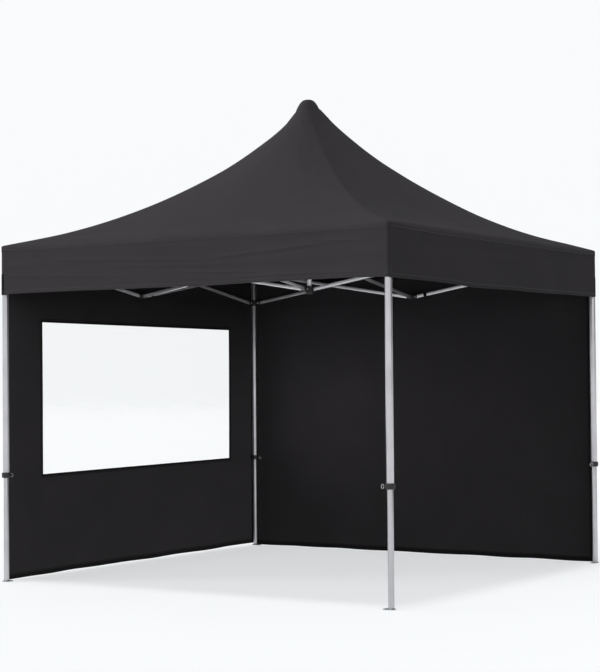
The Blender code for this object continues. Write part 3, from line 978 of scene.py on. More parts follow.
def merged(name, pieces):
    """Joins pieces of one material into one and keeps their shading."""
    with bpy.context.temp_override(
        active_object=pieces[0], selected_editable_objects=pieces, object=pieces[0]
    ):
        bpy.ops.object.join()
    pieces[0].name = name
    pieces[0].data.name = name
    return pieces[0]


def walls():
    # on the left side u runs from the back corner to the front one
    left_ends = (-1.485, 1.437)
    window = (-WINDOW_Y[1], -WINDOW_Y[0])
    columns = np.concatenate(
        [
            np.linspace(left_ends[0], window[0], 16)[:-1],
            np.linspace(window[0], window[1], 90),
            np.linspace(window[1], left_ends[1], 16)[1:],
        ]
    )
    below = np.linspace(WALL_BOTTOM_Z, WINDOW_Z[0], 24)
    beside = np.linspace(WINDOW_Z[0], WINDOW_Z[1], 36)
    above = np.linspace(WINDOW_Z[1], WALL_TOP_Z, 14)
    parts = [
        wall_panel("wall_below", 3, left_ends, columns, below, WALL_CLOTH),
        wall_panel("wall_above", 3, left_ends, columns, above, WALL_CLOTH),
        wall_panel("wall_back_end", 3, left_ends, columns[:16], beside, WALL_CLOTH),
        wall_panel("wall_front_end", 3, left_ends, columns[-16:], beside, WALL_CLOTH),
    ]
    left = merged("left_wall_sheet", parts)
    pane = wall_panel(
        "window_sheet",
        3,
        left_ends,
        np.linspace(window[0] - 0.012, window[1] + 0.012, 80),
        np.linspace(WINDOW_Z[0] - 0.012, WINDOW_Z[1] + 0.012, 40),
        VINYL,
        0.0005,
        -0.0003,
    )
    back_ends = (-1.437, 1.485)
    back = wall_panel(
        "back_wall_sheet",
        2,
        back_ends,
        np.linspace(back_ends[0], back_ends[1], 120),
        np.linspace(WALL_BOTTOM_Z, WALL_TOP_Z, 70),
        WALL_CLOTH,
    )
    hems = []
    for side, turn, ends in (("left", 3, left_ends), ("back", 2, back_ends)):
        strips = [
            ((ends[0], ends[1]), (WALL_BOTTOM_Z - 0.002, WALL_BOTTOM_Z + 0.034)),
            ((ends[0], ends[1]), (WALL_TOP_Z - 0.04, WALL_TOP_Z + 0.001)),
            ((ends[0] - 0.001, ends[0] + 0.028), (WALL_BOTTOM_Z, WALL_TOP_Z)),
            ((ends[1] - 0.028, ends[1] + 0.001), (WALL_BOTTOM_Z, WALL_TOP_Z)),
        ]
        hems.append(strip_frame(f"{side}_wall_hem", turn, ends, strips, 0.0007))
    binding = strip_frame(
        "window_binding",
        3,
        left_ends,
        [
            ((window[0] - 0.020, window[1] + 0.020), (WINDOW_Z[0] - 0.020, WINDOW_Z[0] + 0.003)),
            ((window[0] - 0.020, window[1] + 0.020), (WINDOW_Z[1] - 0.003, WINDOW_Z[1] + 0.020)),
            ((window[0] - 0.020, window[0] + 0.003), (WINDOW_Z[0], WINDOW_Z[1])),
            ((window[1] - 0.003, window[1] + 0.020), (WINDOW_Z[0], WINDOW_Z[1])),
        ],
        0.0011,
    )
    for piece in (left, hems[0], binding, pane):
        fold_wall(piece, "left", 3)
    for piece in (back, hems[1]):
        fold_wall(piece, "back", 2)
    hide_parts("left_wall")
    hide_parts("back_wall")
    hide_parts("window_pane")


def strip_frame(name, turn, ends, strips, proud):
    """Tapes sewn round a sheet's edges, proud of both its faces."""
    parts = []
    for number, ((left, right), (low, high)) in enumerate(strips):
        wide = max(2, int((right - left) / 0.025) + 1)
        tall = max(2, int((high - low) / 0.03) + 1)
        parts.append(
            wall_panel(
                f"{name}_{number}",
                turn,
                ends,
                np.linspace(left, right, wide),
                np.linspace(low, high, tall),
                TAPE,
                CLOTH + 2 * proud,
                proud,
            )
        )
    return merged(name, parts)


# Frame


def leg_parts(turn, corner):
    x = -LEG
    built = bmesh.new()
    prism(
        built,
        octagon(0.042, 0.10),
        (x, x, 0.7045),
        (x, x, 2.2),
        (1.0, 0.0, 0.0),
        hole=octagon(0.0382, 0.10),
        rounding=0.0008,
    )
    place_turned(built, turn)
    bmesh.ops.recalc_face_normals(built, faces=built.faces)
    outer = from_bmesh(f"{corner}_leg_tube", built, LEG_METAL, sharp=25)
    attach(outer, f"{corner}_leg")
    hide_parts(f"{corner}_outer_leg")

    built = bmesh.new()
    prism(
        built,
        octagon(0.034, 0.10),
        (x, x, 0.004),
        (x, x, 0.899),
        (1.0, 0.0, 0.0),
        hole=octagon(0.031, 0.10),
        rounding=0.0006,
    )
    place_turned(built, turn)
    bmesh.ops.recalc_face_normals(built, faces=built.faces)
    inner = from_bmesh(f"{corner}_leg_extension_tube", built, INNER_METAL, sharp=25)
    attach(inner, f"{corner}_leg_extension")
    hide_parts(f"{corner}_inner_leg")

    foot = foot_plate(corner, turn)
    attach(foot, f"{corner}_leg_extension")


def foot_plate(corner, turn):
    """A pressed steel foot, 44 by 68 mm, with two peg holes and a welded collar."""
    curve = bpy.data.curves.new("foot_outline", "CURVE")
    curve.dimensions = "2D"
    curve.fill_mode = "BOTH"
    curve.extrude = 0.0018
    curve.bevel_depth = 0.0007
    curve.bevel_resolution = 2
    loops = [[(p[0], p[1] + 0.012) for p in rounded_section(0.0426, 0.0666, 0.007, 5)]]
    for hx in (-0.011, 0.011):
        ring = []
        for i in range(16):
            angle = i * math.tau / 16
            ring.append((hx + 0.0045 * math.cos(angle), 0.0345 + 0.0045 * math.sin(angle)))
        loops.append(ring)
    for loop in loops:
        spline = curve.splines.new("POLY")
        spline.points.add(len(loop) - 1)
        spline.use_cyclic_u = True
        for point, (px, py) in zip(spline.points, loop):
            point.co = (px, py, 0.0, 1.0)
    guide = bpy.data.objects.new("foot_outline", curve)
    scene.collection.objects.link(guide)
    graph = bpy.context.evaluated_depsgraph_get()
    flat = bpy.data.meshes.new_from_object(guide.evaluated_get(graph))
    bpy.data.objects.remove(guide)
    built = bmesh.new()
    built.from_mesh(flat)
    bmesh.ops.remove_doubles(built, verts=built.verts, dist=1e-6)
    bmesh.ops.translate(built, vec=(-LEG, -LEG, 0.0025), verts=built.verts)
    collar = [(0.0172, 0.0045), (0.0215, 0.0045), (0.0195, 0.0075), (0.0188, 0.012), (0.0172, 0.012)]
    lathe(built, collar + [collar[0]], (-LEG, -LEG, 0.0), 8)
    bmesh.ops.remove_doubles(built, verts=built.verts, dist=1e-6)
    place_turned(built, turn)
    bmesh.ops.recalc_face_normals(built, faces=built.faces)
    return from_bmesh(f"{corner}_foot_plate", built, GALVANISED)


def soft_box(built, low, high, radius):
    """A block between two corners with rounded edges."""
    made = bmesh.ops.create_cube(built, size=1.0)["verts"]
    size = Vector(high) - Vector(low)
    bmesh.ops.scale(built, vec=size, verts=made)
    bmesh.ops.translate(built, vec=(Vector(high) + Vector(low)) / 2, verts=made)
    edges = {edge for vert in made for edge in vert.link_edges}
    bmesh.ops.bevel(
        built, geom=list(edges), offset=radius, segments=3, profile=0.6, affect="EDGES"
    )


def ears(built, layer, z, half_height):
    """Two ears along +X and +Y that carry the bars, each on the other side of the plane."""
    for side_layer, angle in ((-layer, 0.0), (layer, QUARTER_TURN)):
        part = bmesh.new()
        near, far = sorted((side_layer * 0.0013, -side_layer * 0.0138))
        soft_box(part, (0.012, near, -half_height), (0.060, far, half_height), 0.0022)
        rib = sorted((-side_layer * 0.0050, -side_layer * 0.0100))
        soft_box(part, (0.018, rib[0], -half_height - 0.006), (0.040, rib[1], 0.0), 0.0015)
        bmesh.ops.rotate(part, cent=(0, 0, 0), matrix=Matrix.Rotation(angle, 3, "Z"), verts=part.verts)
        bmesh.ops.translate(part, vec=(-LEG, -LEG, z), verts=part.verts)
        mesh = bpy.data.meshes.new("ear")
        part.to_mesh(mesh)
        part.free()
        built.from_mesh(mesh)
        bpy.data.meshes.remove(mesh)


def corner_fittings(turn, corner):
    x = -LEG
    built = bmesh.new()
    prism(
        built,
        octagon(0.0458, 0.14),
        (x, x, 2.126),
        (x, x, 2.2045),
        (1.0, 0.0, 0.0),
        hole=octagon(0.0426, 0.10),
        rounding=0.0015,
    )
    prism(built, octagon(0.0440, 0.14), (x, x, 2.2005), (x, x, 2.2085), (1.0, 0.0, 0.0), rounding=0.0015)
    ears(built, -1, UPPER_PIVOT_Z, 0.0138)
    place_turned(built, turn)
    bmesh.ops.recalc_face_normals(built, faces=built.faces)
    bracket = from_bmesh(f"{corner}_top_socket", built, NYLON)
    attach(bracket, f"{corner}_leg")
    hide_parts(f"{corner}_top_bracket")

    built = bmesh.new()
    prism(
        built,
        octagon(0.0462, 0.14),
        (x, x, LOWER_PIVOT_Z - 0.0235),
        (x, x, LOWER_PIVOT_Z + 0.0235),
        (1.0, 0.0, 0.0),
        hole=octagon(0.0434, 0.10),
        rounding=0.0018,
    )
    for height in (-0.0185, 0.0185):
        prism(
            built,
            octagon(0.0474, 0.14),
            (x, x, LOWER_PIVOT_Z + height - 0.003),
            (x, x, LOWER_PIVOT_Z + height + 0.003),
            (1.0, 0.0, 0.0),
            hole=octagon(0.0450, 0.10),
            rounding=0.0010,
        )
    ears(built, 1, LOWER_PIVOT_Z, 0.0138)
    place_turned(built, turn)
    bmesh.ops.recalc_face_normals(built, faces=built.faces)
    slider = from_bmesh(f"{corner}_slider_sleeve", built, NYLON)
    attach(slider, f"{corner}_slider_ring")
    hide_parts(f"{corner}_slider")

    built = bmesh.new()
    prism(
        built,
        octagon(0.0560, 0.16),
        (x, x, 0.6885),
        (x, x, 0.7175),
        (1.0, 0.0, 0.0),
        hole=octagon(0.0426, 0.10),
        rounding=0.0022,
    )
    lower = bmesh.new()
    prism(
        lower,
        octagon(0.0520, 0.16),
        (x, x, 0.684),
        (x, x, 0.692),
        (1.0, 0.0, 0.0),
        hole=octagon(0.0346, 0.10),
        rounding=0.0010,
    )
    mesh = bpy.data.meshes.new("lip")
    lower.to_mesh(mesh)
    lower.free()
    built.from_mesh(mesh)
    soft_box(built, (x - 0.0085, x + 0.022, 0.6945), (x + 0.0085, x + 0.0375, 0.7115), 0.0025)
    place_turned(built, turn)
    bmesh.ops.recalc_face_normals(built, faces=built.faces)
    lock = from_bmesh(f"{corner}_lock_collar", built, NYLON)
    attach(lock, f"{corner}_leg")
    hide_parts(f"{corner}_leg_lock")

    pull = pull_ring(corner, turn)
    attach(pull, f"{corner}_leg")


def pull_ring(corner, turn):
    """The spring pin of the lock with its split ring."""
    built = bmesh.new()
    start, end = Vector((-LEG, -LEG + 0.036, 0.703)), Vector((-LEG, -LEG + 0.0445, 0.703))
    section = [(0.0035 * math.cos(a), 0.0035 * math.sin(a)) for a in np.linspace(0, math.tau, 13)[:-1]]
    prism(built, section, start, end, (1.0, 0.0, 0.0), rounding=0.0008)
    centre = end + Vector((0.0, 0.0045, -0.0035))
    ring_radius, wire = 0.0125, 0.0014
    for shift in (0.0, 2.2 * wire):
        rings = []
        for i in range(28):
            angle = i * math.tau / 28
            arm = Vector((math.cos(angle), 0.0, math.sin(angle)))
            lean = Matrix.Rotation(math.radians(62), 3, "Z")
            ring = []
            for j in range(8):
                turn_by = j * math.tau / 8
                offset = arm * (ring_radius + wire * math.cos(turn_by))
                offset += Vector((0.0, shift + wire * math.sin(turn_by), 0.0))
                ring.append(built.verts.new(centre + lean @ offset))
            rings.append(ring)
        for i in range(28):
            one, two = rings[i], rings[(i + 1) % 28]
            for j in range(8):
                k = (j + 1) % 8
                built.faces.new((one[j], one[k], two[k], two[j]))
    place_turned(built, turn)
    bmesh.ops.recalc_face_normals(built, faces=built.faces)
    return from_bmesh(f"{corner}_pull_ring", built, ZINC)


def bar(name, first, last, across, layer, body, node):
    """A flat oval bar from pivot to pivot with moulded end plugs, on one layer."""
    first, last, across = Vector(first), Vector(last), Vector(across)
    along = (last - first).normalized()
    shift = across * (layer * LAYER)
    section = rounded_section(BAR_THICKNESS, BAR_HEIGHT, 0.0042, 4)
    built = bmesh.new()
    reach = 0.0075
    prism(built, section, first - along * reach + shift, last + along * reach + shift, across, rounding=0.0006)
    tube_faces = len(built.faces)
    plug = rounded_section(BAR_THICKNESS - 0.0005, BAR_HEIGHT - 0.0004, 0.004, 4)
    for end, way in ((first, -1), (last, 1)):
        inner = end + along * (way * (reach - 0.002)) + shift
        outer = end + along * (way * 0.0118) + shift
        if way < 0:
            inner, outer = outer, inner
        prism(built, plug, inner, outer, across, rounding=0.0016)
    layer_map = built.loops.layers.uv.new("cloth")
    third = along.cross(across)
    built.faces.ensure_lookup_table()
    for index, face in enumerate(built.faces):
        face.material_index = 0 if index < tube_faces else 1
        for loop in face.loops:
            arm = loop.vert.co - first
            loop[layer_map].uv = (arm.dot(along), arm.dot(third) + arm.dot(across))
    piece = from_bmesh(name, built, LIGHTENED_BAR_METAL, NYLON)
    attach(piece, body)
    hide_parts(node)


def scissors():
    outward = (0.0, -1.0, 0.0)
    leg_x = LEG - LEG_PIVOT
    for turn, side in enumerate(SIDES):
        for half, sign in (("first", -1), ("second", 1)):
            leg_high = turned((sign * leg_x, PLANE, UPPER_PIVOT_Z), turn)
            leg_low = turned((sign * leg_x, PLANE, LOWER_PIVOT_Z), turn)
            mid_high = turned((sign * MID_PIVOT, PLANE, UPPER_PIVOT_Z), turn)
            mid_low = turned((sign * MID_PIVOT, PLANE, LOWER_PIVOT_Z), turn)
            bar(
                f"{side}_{half}_slider_tube",
                mid_high,
                leg_low,
                turned(outward, turn),
                1,
                f"{side}_{half}_slider_bar",
                f"{side}_{half}_bar_from_slider",
            )
            bar(
                f"{side}_{half}_leg_top_tube",
                leg_high,
                mid_low,
                turned(outward, turn),
                -1,
                f"{side}_{half}_leg_top_bar",
                f"{side}_{half}_bar_from_leg_top",
            )
        mid_y = -(LEG - MID_PIVOT)
        across = turned((1.0, 0.0, 0.0), turn)
        bar(
            f"{side}_inner_falling_tube",
            turned((0.0, -HUB_PIVOT, UPPER_PIVOT_Z), turn),
            turned((0.0, mid_y, LOWER_PIVOT_Z), turn),
            across,
            1,
            f"{side}_inner_falling_bar",
            f"{side}_inner_bar_from_upper_hub",
        )
        bar(
            f"{side}_inner_rising_tube",
            turned((0.0, -HUB_PIVOT, LOWER_PIVOT_Z), turn),
            turned((0.0, mid_y, UPPER_PIVOT_Z), turn),
            across,
            -1,
            f"{side}_inner_rising_bar",
            f"{side}_inner_bar_from_lower_hub",
        )


def cheeks(side, turn, level):
    """The outer cheeks of a mid bracket, which cover the bars' ends."""
    height = UPPER_PIVOT_Z if level == "upper" else LOWER_PIVOT_Z
    built = bmesh.new()
    for near in (0.0143, -0.0166):
        soft_box(
            built,
            (-0.0445, PLANE + near, height - 0.0142),
            (0.0445, PLANE + near + 0.0023, height + 0.0142),
            0.0009,
        )
    bridge = -0.0150 if level == "upper" else 0.0130
    soft_box(
        built,
        (-0.0165, PLANE - 0.0160, height + bridge),
        (0.0165, PLANE + 0.0160, height + bridge + 0.0035),
        0.0010,
    )
    place_turned(built, turn)
    bmesh.ops.recalc_face_normals(built, faces=built.faces)
    piece = from_bmesh(f"{side}_mid_{level}_cheeks", built, NYLON)
    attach(piece, f"{side}_mid_{level}")


def hub_plug():
    """The moulded plug that closes the mast's foot under the lower hub."""
    built = bmesh.new()
    profile = [
        (0.0, 1.9030),
        (0.0190, 1.9032),
        (0.0235, 1.9055),
        (0.0255, 1.9100),
        (0.0265, 1.9235),
        (0.0, 1.9235),
    ]
    lathe(built, profile, (0.0, 0.0, 0.0), 28)
    piece = from_bmesh("lower_hub_plug", built, NYLON)
    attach(piece, "lower_hub")


def straps():
    """Hook and loop straps of the back wall round a bar, and of the left wall's top."""
    for name, turn, sign, body in (
        ("back_bar_strap", 2, -1, "back_first_leg_top_bar"),
        ("left_bar_strap", 3, -1, "left_first_leg_top_bar"),
    ):
        top = turned((sign * (LEG - LEG_PIVOT), PLANE, UPPER_PIVOT_Z), turn)
        low = turned((sign * MID_PIVOT, PLANE, LOWER_PIVOT_Z), turn)
        outward = turned((0.0, -1.0, 0.0), turn)
        along = (top - low).normalized()
        spot = low + along * 0.085 - outward * LAYER
        built = bmesh.new()
        prism(
            built,
            rounded_section(BAR_THICKNESS + 0.003, BAR_HEIGHT + 0.003, 0.005, 4),
            spot - along * 0.0125,
            spot + along * 0.0125,
            outward,
            hole=rounded_section(BAR_THICKNESS + 0.0004, BAR_HEIGHT + 0.0004, 0.0044, 4),
            rounding=0.0005,
        )
        bmesh.ops.recalc_face_normals(built, faces=built.faces)
        layer_map = built.loops.layers.uv.new("cloth")
        for face in built.faces:
            for loop in face.loops:
                arm = loop.vert.co - spot
                loop[layer_map].uv = (arm.dot(along), arm.z + arm.dot(outward))
        piece = from_bmesh(name, built, WEBBING)
        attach(piece, body)


def tab_surface(u, v):
    """Round the front left corner: u in metres from its middle, v in metres up."""
    bend = max(-QUARTER_TURN / 2, min(QUARTER_TURN / 2, u / TAB_RADIUS))
    angle = QUARTER_TURN * 2.5 + bend
    outward = Vector((math.cos(angle), math.sin(angle), 0.0))
    along = Vector((-outward.y, outward.x, 0.0))
    past_bend = u - bend * TAB_RADIUS
    return Vector((-LEG, -LEG, v)) + outward * TAB_RADIUS + along * past_bend


def corner_tabs():
    """Webbing tabs that close the valance round two opposite corners, the outer ones."""
    reach = TAB_RADIUS * QUARTER_TURN / 2 + TAB_OVERLAP
    for turn in (0, 2):
        corner = CORNERS[turn]
        across = np.linspace(-reach, reach, 17)
        up = np.linspace(VALANCE_BOTTOM_Z + 0.002, TAB_TOP_Z, 9)
        name = f"{corner}_valance_tab"
        size = (1.0, 1.0)
        tab = cloth_piece(name, tab_surface, across, up, size, TAB_THICKNESS, WEBBING, turn)
        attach(tab, f"{corner}_leg")


def middle():
    """The mast with its spring and dome, and the moulded fittings that keep their shape."""
    built = bmesh.new()
    pole = [
        (0.0, 1.9235),
        (0.0155, 1.9235),
        (0.016, 1.9245),
        (0.016, 3.189),
        (0.0200, 3.190),
        (0.0205, 3.196),
        (0.0205, 3.208),
        (0.0180, 3.216),
        (0.0100, 3.2195),
        (0.0, 3.2200),
    ]
    lathe(built, pole, (0.0, 0.0, 0.0), 28)
    piece = from_bmesh("mast_tube", built, LEG_METAL)
    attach(piece, "lower_hub")
    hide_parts("mast")
    for name in ("hub_upper", "hub_lower"):
        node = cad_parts[name]
        node.data.materials.clear()
        node.data.materials.append(NYLON)
    for turn, side in enumerate(SIDES):
        for level in ("upper", "lower"):
            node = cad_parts[f"{side}_mid_bracket_{level}"]
            node.data.materials.clear()
            node.data.materials.append(NYLON)
            cheeks(side, turn, level)
    hub_plug()


# Repeated small pieces


def rivet_tree():
    """A domed rivet with a washer under each head, on every point, along its axis."""
    tree = bpy.data.node_groups.new("riveted_pivots", "GeometryNodeTree")
    face = tree.interface
    face.new_socket("Geometry", in_out="INPUT", socket_type="NodeSocketGeometry")
    wanted = (("Head Radius", 0.0062), ("Head Height", 0.0024), ("Grip", 0.0300))
    for name, value in wanted:
        socket = face.new_socket(name, in_out="INPUT", socket_type="NodeSocketFloat")
        socket.default_value = value
    face.new_socket("Finish", in_out="INPUT", socket_type="NodeSocketMaterial")
    face.new_socket("Geometry", in_out="OUTPUT", socket_type="NodeSocketGeometry")
    given = add(tree, "NodeGroupInput")
    half = add(tree, "ShaderNodeMath", {0: given.outputs["Grip"], 1: 0.5}, operation="MULTIPLY")
    down = add(tree, "ShaderNodeMath", {0: half.outputs[0], 1: -1.0}, operation="MULTIPLY")
    dome = add(
        tree,
        "GeometryNodeMeshUVSphere",
        {"Segments": 12, "Rings": 6, "Radius": given.outputs["Head Radius"]},
    )
    flat = add(
        tree,
        "ShaderNodeMath",
        {0: given.outputs["Head Height"], 1: given.outputs["Head Radius"]},
        operation="DIVIDE",
    )
    squat = add(tree, "ShaderNodeCombineXYZ", {"X": 1.0, "Y": 1.0, "Z": flat.outputs[0]})
    washer = add(
        tree,
        "ShaderNodeMath",
        {0: given.outputs["Head Radius"], 1: 1.35},
        operation="MULTIPLY",
    )
    disc = add(
        tree,
        "GeometryNodeMeshCylinder",
        {"Vertices": 14, "Radius": washer.outputs[0], "Depth": 0.0012},
    )
    shank = add(
        tree,
        "GeometryNodeMeshCylinder",
        {"Vertices": 10, "Radius": 0.0030, "Depth": given.outputs["Grip"]},
    )
    shapes = [shank.outputs["Mesh"]]
    for height in (half.outputs[0], down.outputs[0]):
        spot = add(tree, "ShaderNodeCombineXYZ", {"Z": height})
        head = add(
            tree,
            "GeometryNodeTransform",
            {"Geometry": dome.outputs["Mesh"], "Translation": spot.outputs[0], "Scale": squat.outputs[0]},
        )
        ring = add(
            tree,
            "GeometryNodeTransform",
            {"Geometry": disc.outputs["Mesh"], "Translation": spot.outputs[0]},
        )
        shapes += [head.outputs["Geometry"], ring.outputs["Geometry"]]
    rivet = add(tree, "GeometryNodeJoinGeometry")
    for shape in shapes:
        tree.links.new(shape, rivet.inputs[0])
    axis = add(tree, "GeometryNodeInputNamedAttribute", {"Name": "axis"}, data_type="FLOAT_VECTOR")
    aim_at = add(
        tree,
        "FunctionNodeAlignRotationToVector",
        {"Vector": axis.outputs["Attribute"]},
        axis="Z",
    )
    spread = add(
        tree,
        "GeometryNodeInstanceOnPoints",
        {
            "Points": given.outputs["Geometry"],
            "Instance": rivet.outputs[0],
            "Rotation": aim_at.outputs["Rotation"],
        },
    )
    real = add(tree, "GeometryNodeRealizeInstances", {"Geometry": spread.outputs["Instances"]})
    dressed = add(
        tree,
        "GeometryNodeSetMaterial",
        {"Geometry": real.outputs["Geometry"], "Material": given.outputs["Finish"]},
    )
    add(tree, "NodeGroupOutput", {"Geometry": dressed.outputs["Geometry"]})
    return tree


def stitch_tree():
    """Lock stitches along every edge of a path mesh.

    Real ones are 4 mm long in 0.4 mm thread. They are drawn 9 mm long so that they show.
    """
    tree = bpy.data.node_groups.new("lock_stitches", "GeometryNodeTree")
    face = tree.interface
    face.new_socket("Geometry", in_out="INPUT", socket_type="NodeSocketGeometry")
    wanted = (("Stitch Length", 0.009), ("Pitch", 0.012), ("Thread Radius", 0.0007))
    for name, value in wanted:
        socket = face.new_socket(name, in_out="INPUT", socket_type="NodeSocketFloat")
        socket.default_value = value
    face.new_socket("Finish", in_out="INPUT", socket_type="NodeSocketMaterial")
    face.new_socket("Geometry", in_out="OUTPUT", socket_type="NodeSocketGeometry")
    given = add(tree, "NodeGroupInput")
    path = add(tree, "GeometryNodeMeshToCurve", {"Mesh": given.outputs["Geometry"]})
    marks = add(
        tree,
        "GeometryNodeCurveToPoints",
        {"Curve": path.outputs["Curve"], "Length": given.outputs["Pitch"]},
        mode="LENGTH",
    )
    thread = add(
        tree,
        "GeometryNodeMeshCylinder",
        {
            "Vertices": 5,
            "Radius": given.outputs["Thread Radius"],
            "Depth": given.outputs["Stitch Length"],
        },
    )
    aim_at = add(
        tree,
        "FunctionNodeAlignRotationToVector",
        {"Vector": marks.outputs["Tangent"]},
        axis="Z",
    )
    spread = add(
        tree,
        "GeometryNodeInstanceOnPoints",
        {
            "Points": marks.outputs["Points"],
            "Instance": thread.outputs["Mesh"],
            "Rotation": aim_at.outputs["Rotation"],
        },
    )
    real = add(tree, "GeometryNodeRealizeInstances", {"Geometry": spread.outputs["Instances"]})
    dressed = add(
        tree,
        "GeometryNodeSetMaterial",
        {"Geometry": real.outputs["Geometry"], "Material": given.outputs["Finish"]},
    )
    add(tree, "NodeGroupOutput", {"Geometry": dressed.outputs["Geometry"]})
    return tree


def grown(name, tree, mesh, inputs):
    """Runs a tree on a guide mesh and keeps the result as a plain mesh."""
    guide = link(name + "_guide", mesh)
    step = guide.modifiers.new("grow", "NODES")
    step.node_group = tree
    sockets = {s.name: s.identifier for s in tree.interface.items_tree if s.in_out == "INPUT"}
    for key, value in inputs.items():
        step[sockets[key]] = value
    graph = bpy.context.evaluated_depsgraph_get()
    made = bpy.data.meshes.new_from_object(guide.evaluated_get(graph))
    made.name = name
    bpy.data.objects.remove(guide)
    if not made.materials:
        made.materials.append(inputs["Finish"])
    made.shade_smooth()
    made.set_sharp_from_angle(angle=math.radians(40))
    return link(name, made)


def path_mesh(paths):
    verts, edges = [], []
    for path in paths:
        start = len(verts)
        verts += path
        edges += [(start + i, start + i + 1) for i in range(len(path) - 1)]
    mesh = bpy.data.meshes.new("path")
    mesh.from_pydata(verts, edges, [])
    return mesh


def stitches():
    tree = stitch_tree()
    wide = {"Finish": THREAD}
    u_marks = np.linspace(-0.985, 0.985, 120)
    for turn, side in enumerate(SIDES):
        hem = valance_surface(turn, 0.0008 + 0.0004)
        roof = roof_surface(turn)
        rows = [[turned(hem(u, 0.021), turn) for u in u_marks]]
        eave = [turned(roof(u, -0.9) + Vector((0, -0.0004, 0)), turn) for u in u_marks]
        rows.append(eave)
        sewn = grown(f"{side}_valance_stitches", tree, path_mesh(rows), wide)
        fold_side(sewn, side, turn)
    left_ends, back_ends = (-1.485, 1.437), (-1.437, 1.485)
    for side, turn, ends in (("left", 3, left_ends), ("back", 2, back_ends)):
        rows = []
        for out in (0.0010, -CLOTH - 0.0010):
            surface = wall_surface(turn, ends, out)
            u_line = np.linspace(ends[0] + 0.02, ends[1] - 0.02, 90)
            v_line = np.linspace(WALL_BOTTOM_Z + 0.03, WALL_TOP_Z - 0.03, 70)
            rows.append([turned(surface(u, WALL_BOTTOM_Z + 0.028), turn) for u in u_line])
            rows.append([turned(surface(u, WALL_TOP_Z - 0.034), turn) for u in u_line])
            rows.append([turned(surface(ends[0] + 0.023, v), turn) for v in v_line])
            rows.append([turned(surface(ends[1] - 0.023, v), turn) for v in v_line])
            if side == "left":
                window = (-WINDOW_Y[1] - 0.014, -WINDOW_Y[0] + 0.014)
                tall = (WINDOW_Z[0] - 0.014, WINDOW_Z[1] + 0.014)
                bound = wall_surface(turn, ends, out + (0.0004 if out > 0 else -0.0004))
                u_line = np.linspace(window[0], window[1], 70)
                v_line = np.linspace(tall[0], tall[1], 40)
                for v in tall:
                    rows.append([turned(bound(u, v), turn) for u in u_line])
                for u in window:
                    rows.append([turned(bound(u, v), turn) for v in v_line])
        sewn = grown(f"{side}_wall_stitches", tree, path_mesh(rows), wide)
        fold_side(sewn, side, turn)


def rivets():
    tree = rivet_tree()
    at_body = {}

    def pivot(body, spot, axis):
        at_body.setdefault(body, []).append((spot, axis))

    leg_x = LEG - LEG_PIVOT
    cross_x = (MID_PIVOT + leg_x) / 2
    cross_z = (UPPER_PIVOT_Z + LOWER_PIVOT_Z) / 2
    mid_y = -(LEG - MID_PIVOT)
    for turn, side in enumerate(SIDES):
        y_axis, x_axis = turned((0.0, 1.0, 0.0), turn), turned((1.0, 0.0, 0.0), turn)
        for half, sign in (("first", -1), ("second", 1)):
            corner = CORNERS[turn if half == "first" else (turn + 1) % 4]
            high = turned((sign * leg_x, PLANE, UPPER_PIVOT_Z), turn)
            low = turned((sign * leg_x, PLANE, LOWER_PIVOT_Z), turn)
            pivot(f"{corner}_leg", high, y_axis)
            pivot(f"{corner}_slider_ring", low, y_axis)
            cross = turned((sign * cross_x, PLANE, cross_z), turn)
            pivot(f"{side}_{half}_leg_top_bar", cross, y_axis)
            up = turned((sign * MID_PIVOT, PLANE, UPPER_PIVOT_Z), turn)
            down = turned((sign * MID_PIVOT, PLANE, LOWER_PIVOT_Z), turn)
            pivot(f"{side}_mid_upper", up, y_axis)
            pivot(f"{side}_mid_lower", down, y_axis)
        pivot(f"{side}_mid_upper", turned((0.0, mid_y, UPPER_PIVOT_Z), turn), x_axis)
        pivot(f"{side}_mid_lower", turned((0.0, mid_y, LOWER_PIVOT_Z), turn), x_axis)
        cross = turned((0.0, -(HUB_PIVOT - mid_y) / 2, cross_z), turn)
        pivot(f"{side}_inner_falling_bar", cross, x_axis)
        pivot("canopy_and_hub", turned((0.0, -HUB_PIVOT, UPPER_PIVOT_Z), turn), x_axis)
        pivot("lower_hub", turned((0.0, -HUB_PIVOT, LOWER_PIVOT_Z), turn), x_axis)
    for body, pivots in at_body.items():
        mesh = bpy.data.meshes.new("pivots")
        mesh.from_pydata([spot for spot, _ in pivots], [], [])
        axes = mesh.attributes.new("axis", "FLOAT_VECTOR", "POINT")
        for index, (_, axis) in enumerate(pivots):
            axes.data[index].vector = axis
        made = grown(f"{body}_rivets", tree, mesh, {"Finish": ZINC})
        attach(made, body)


# Studio


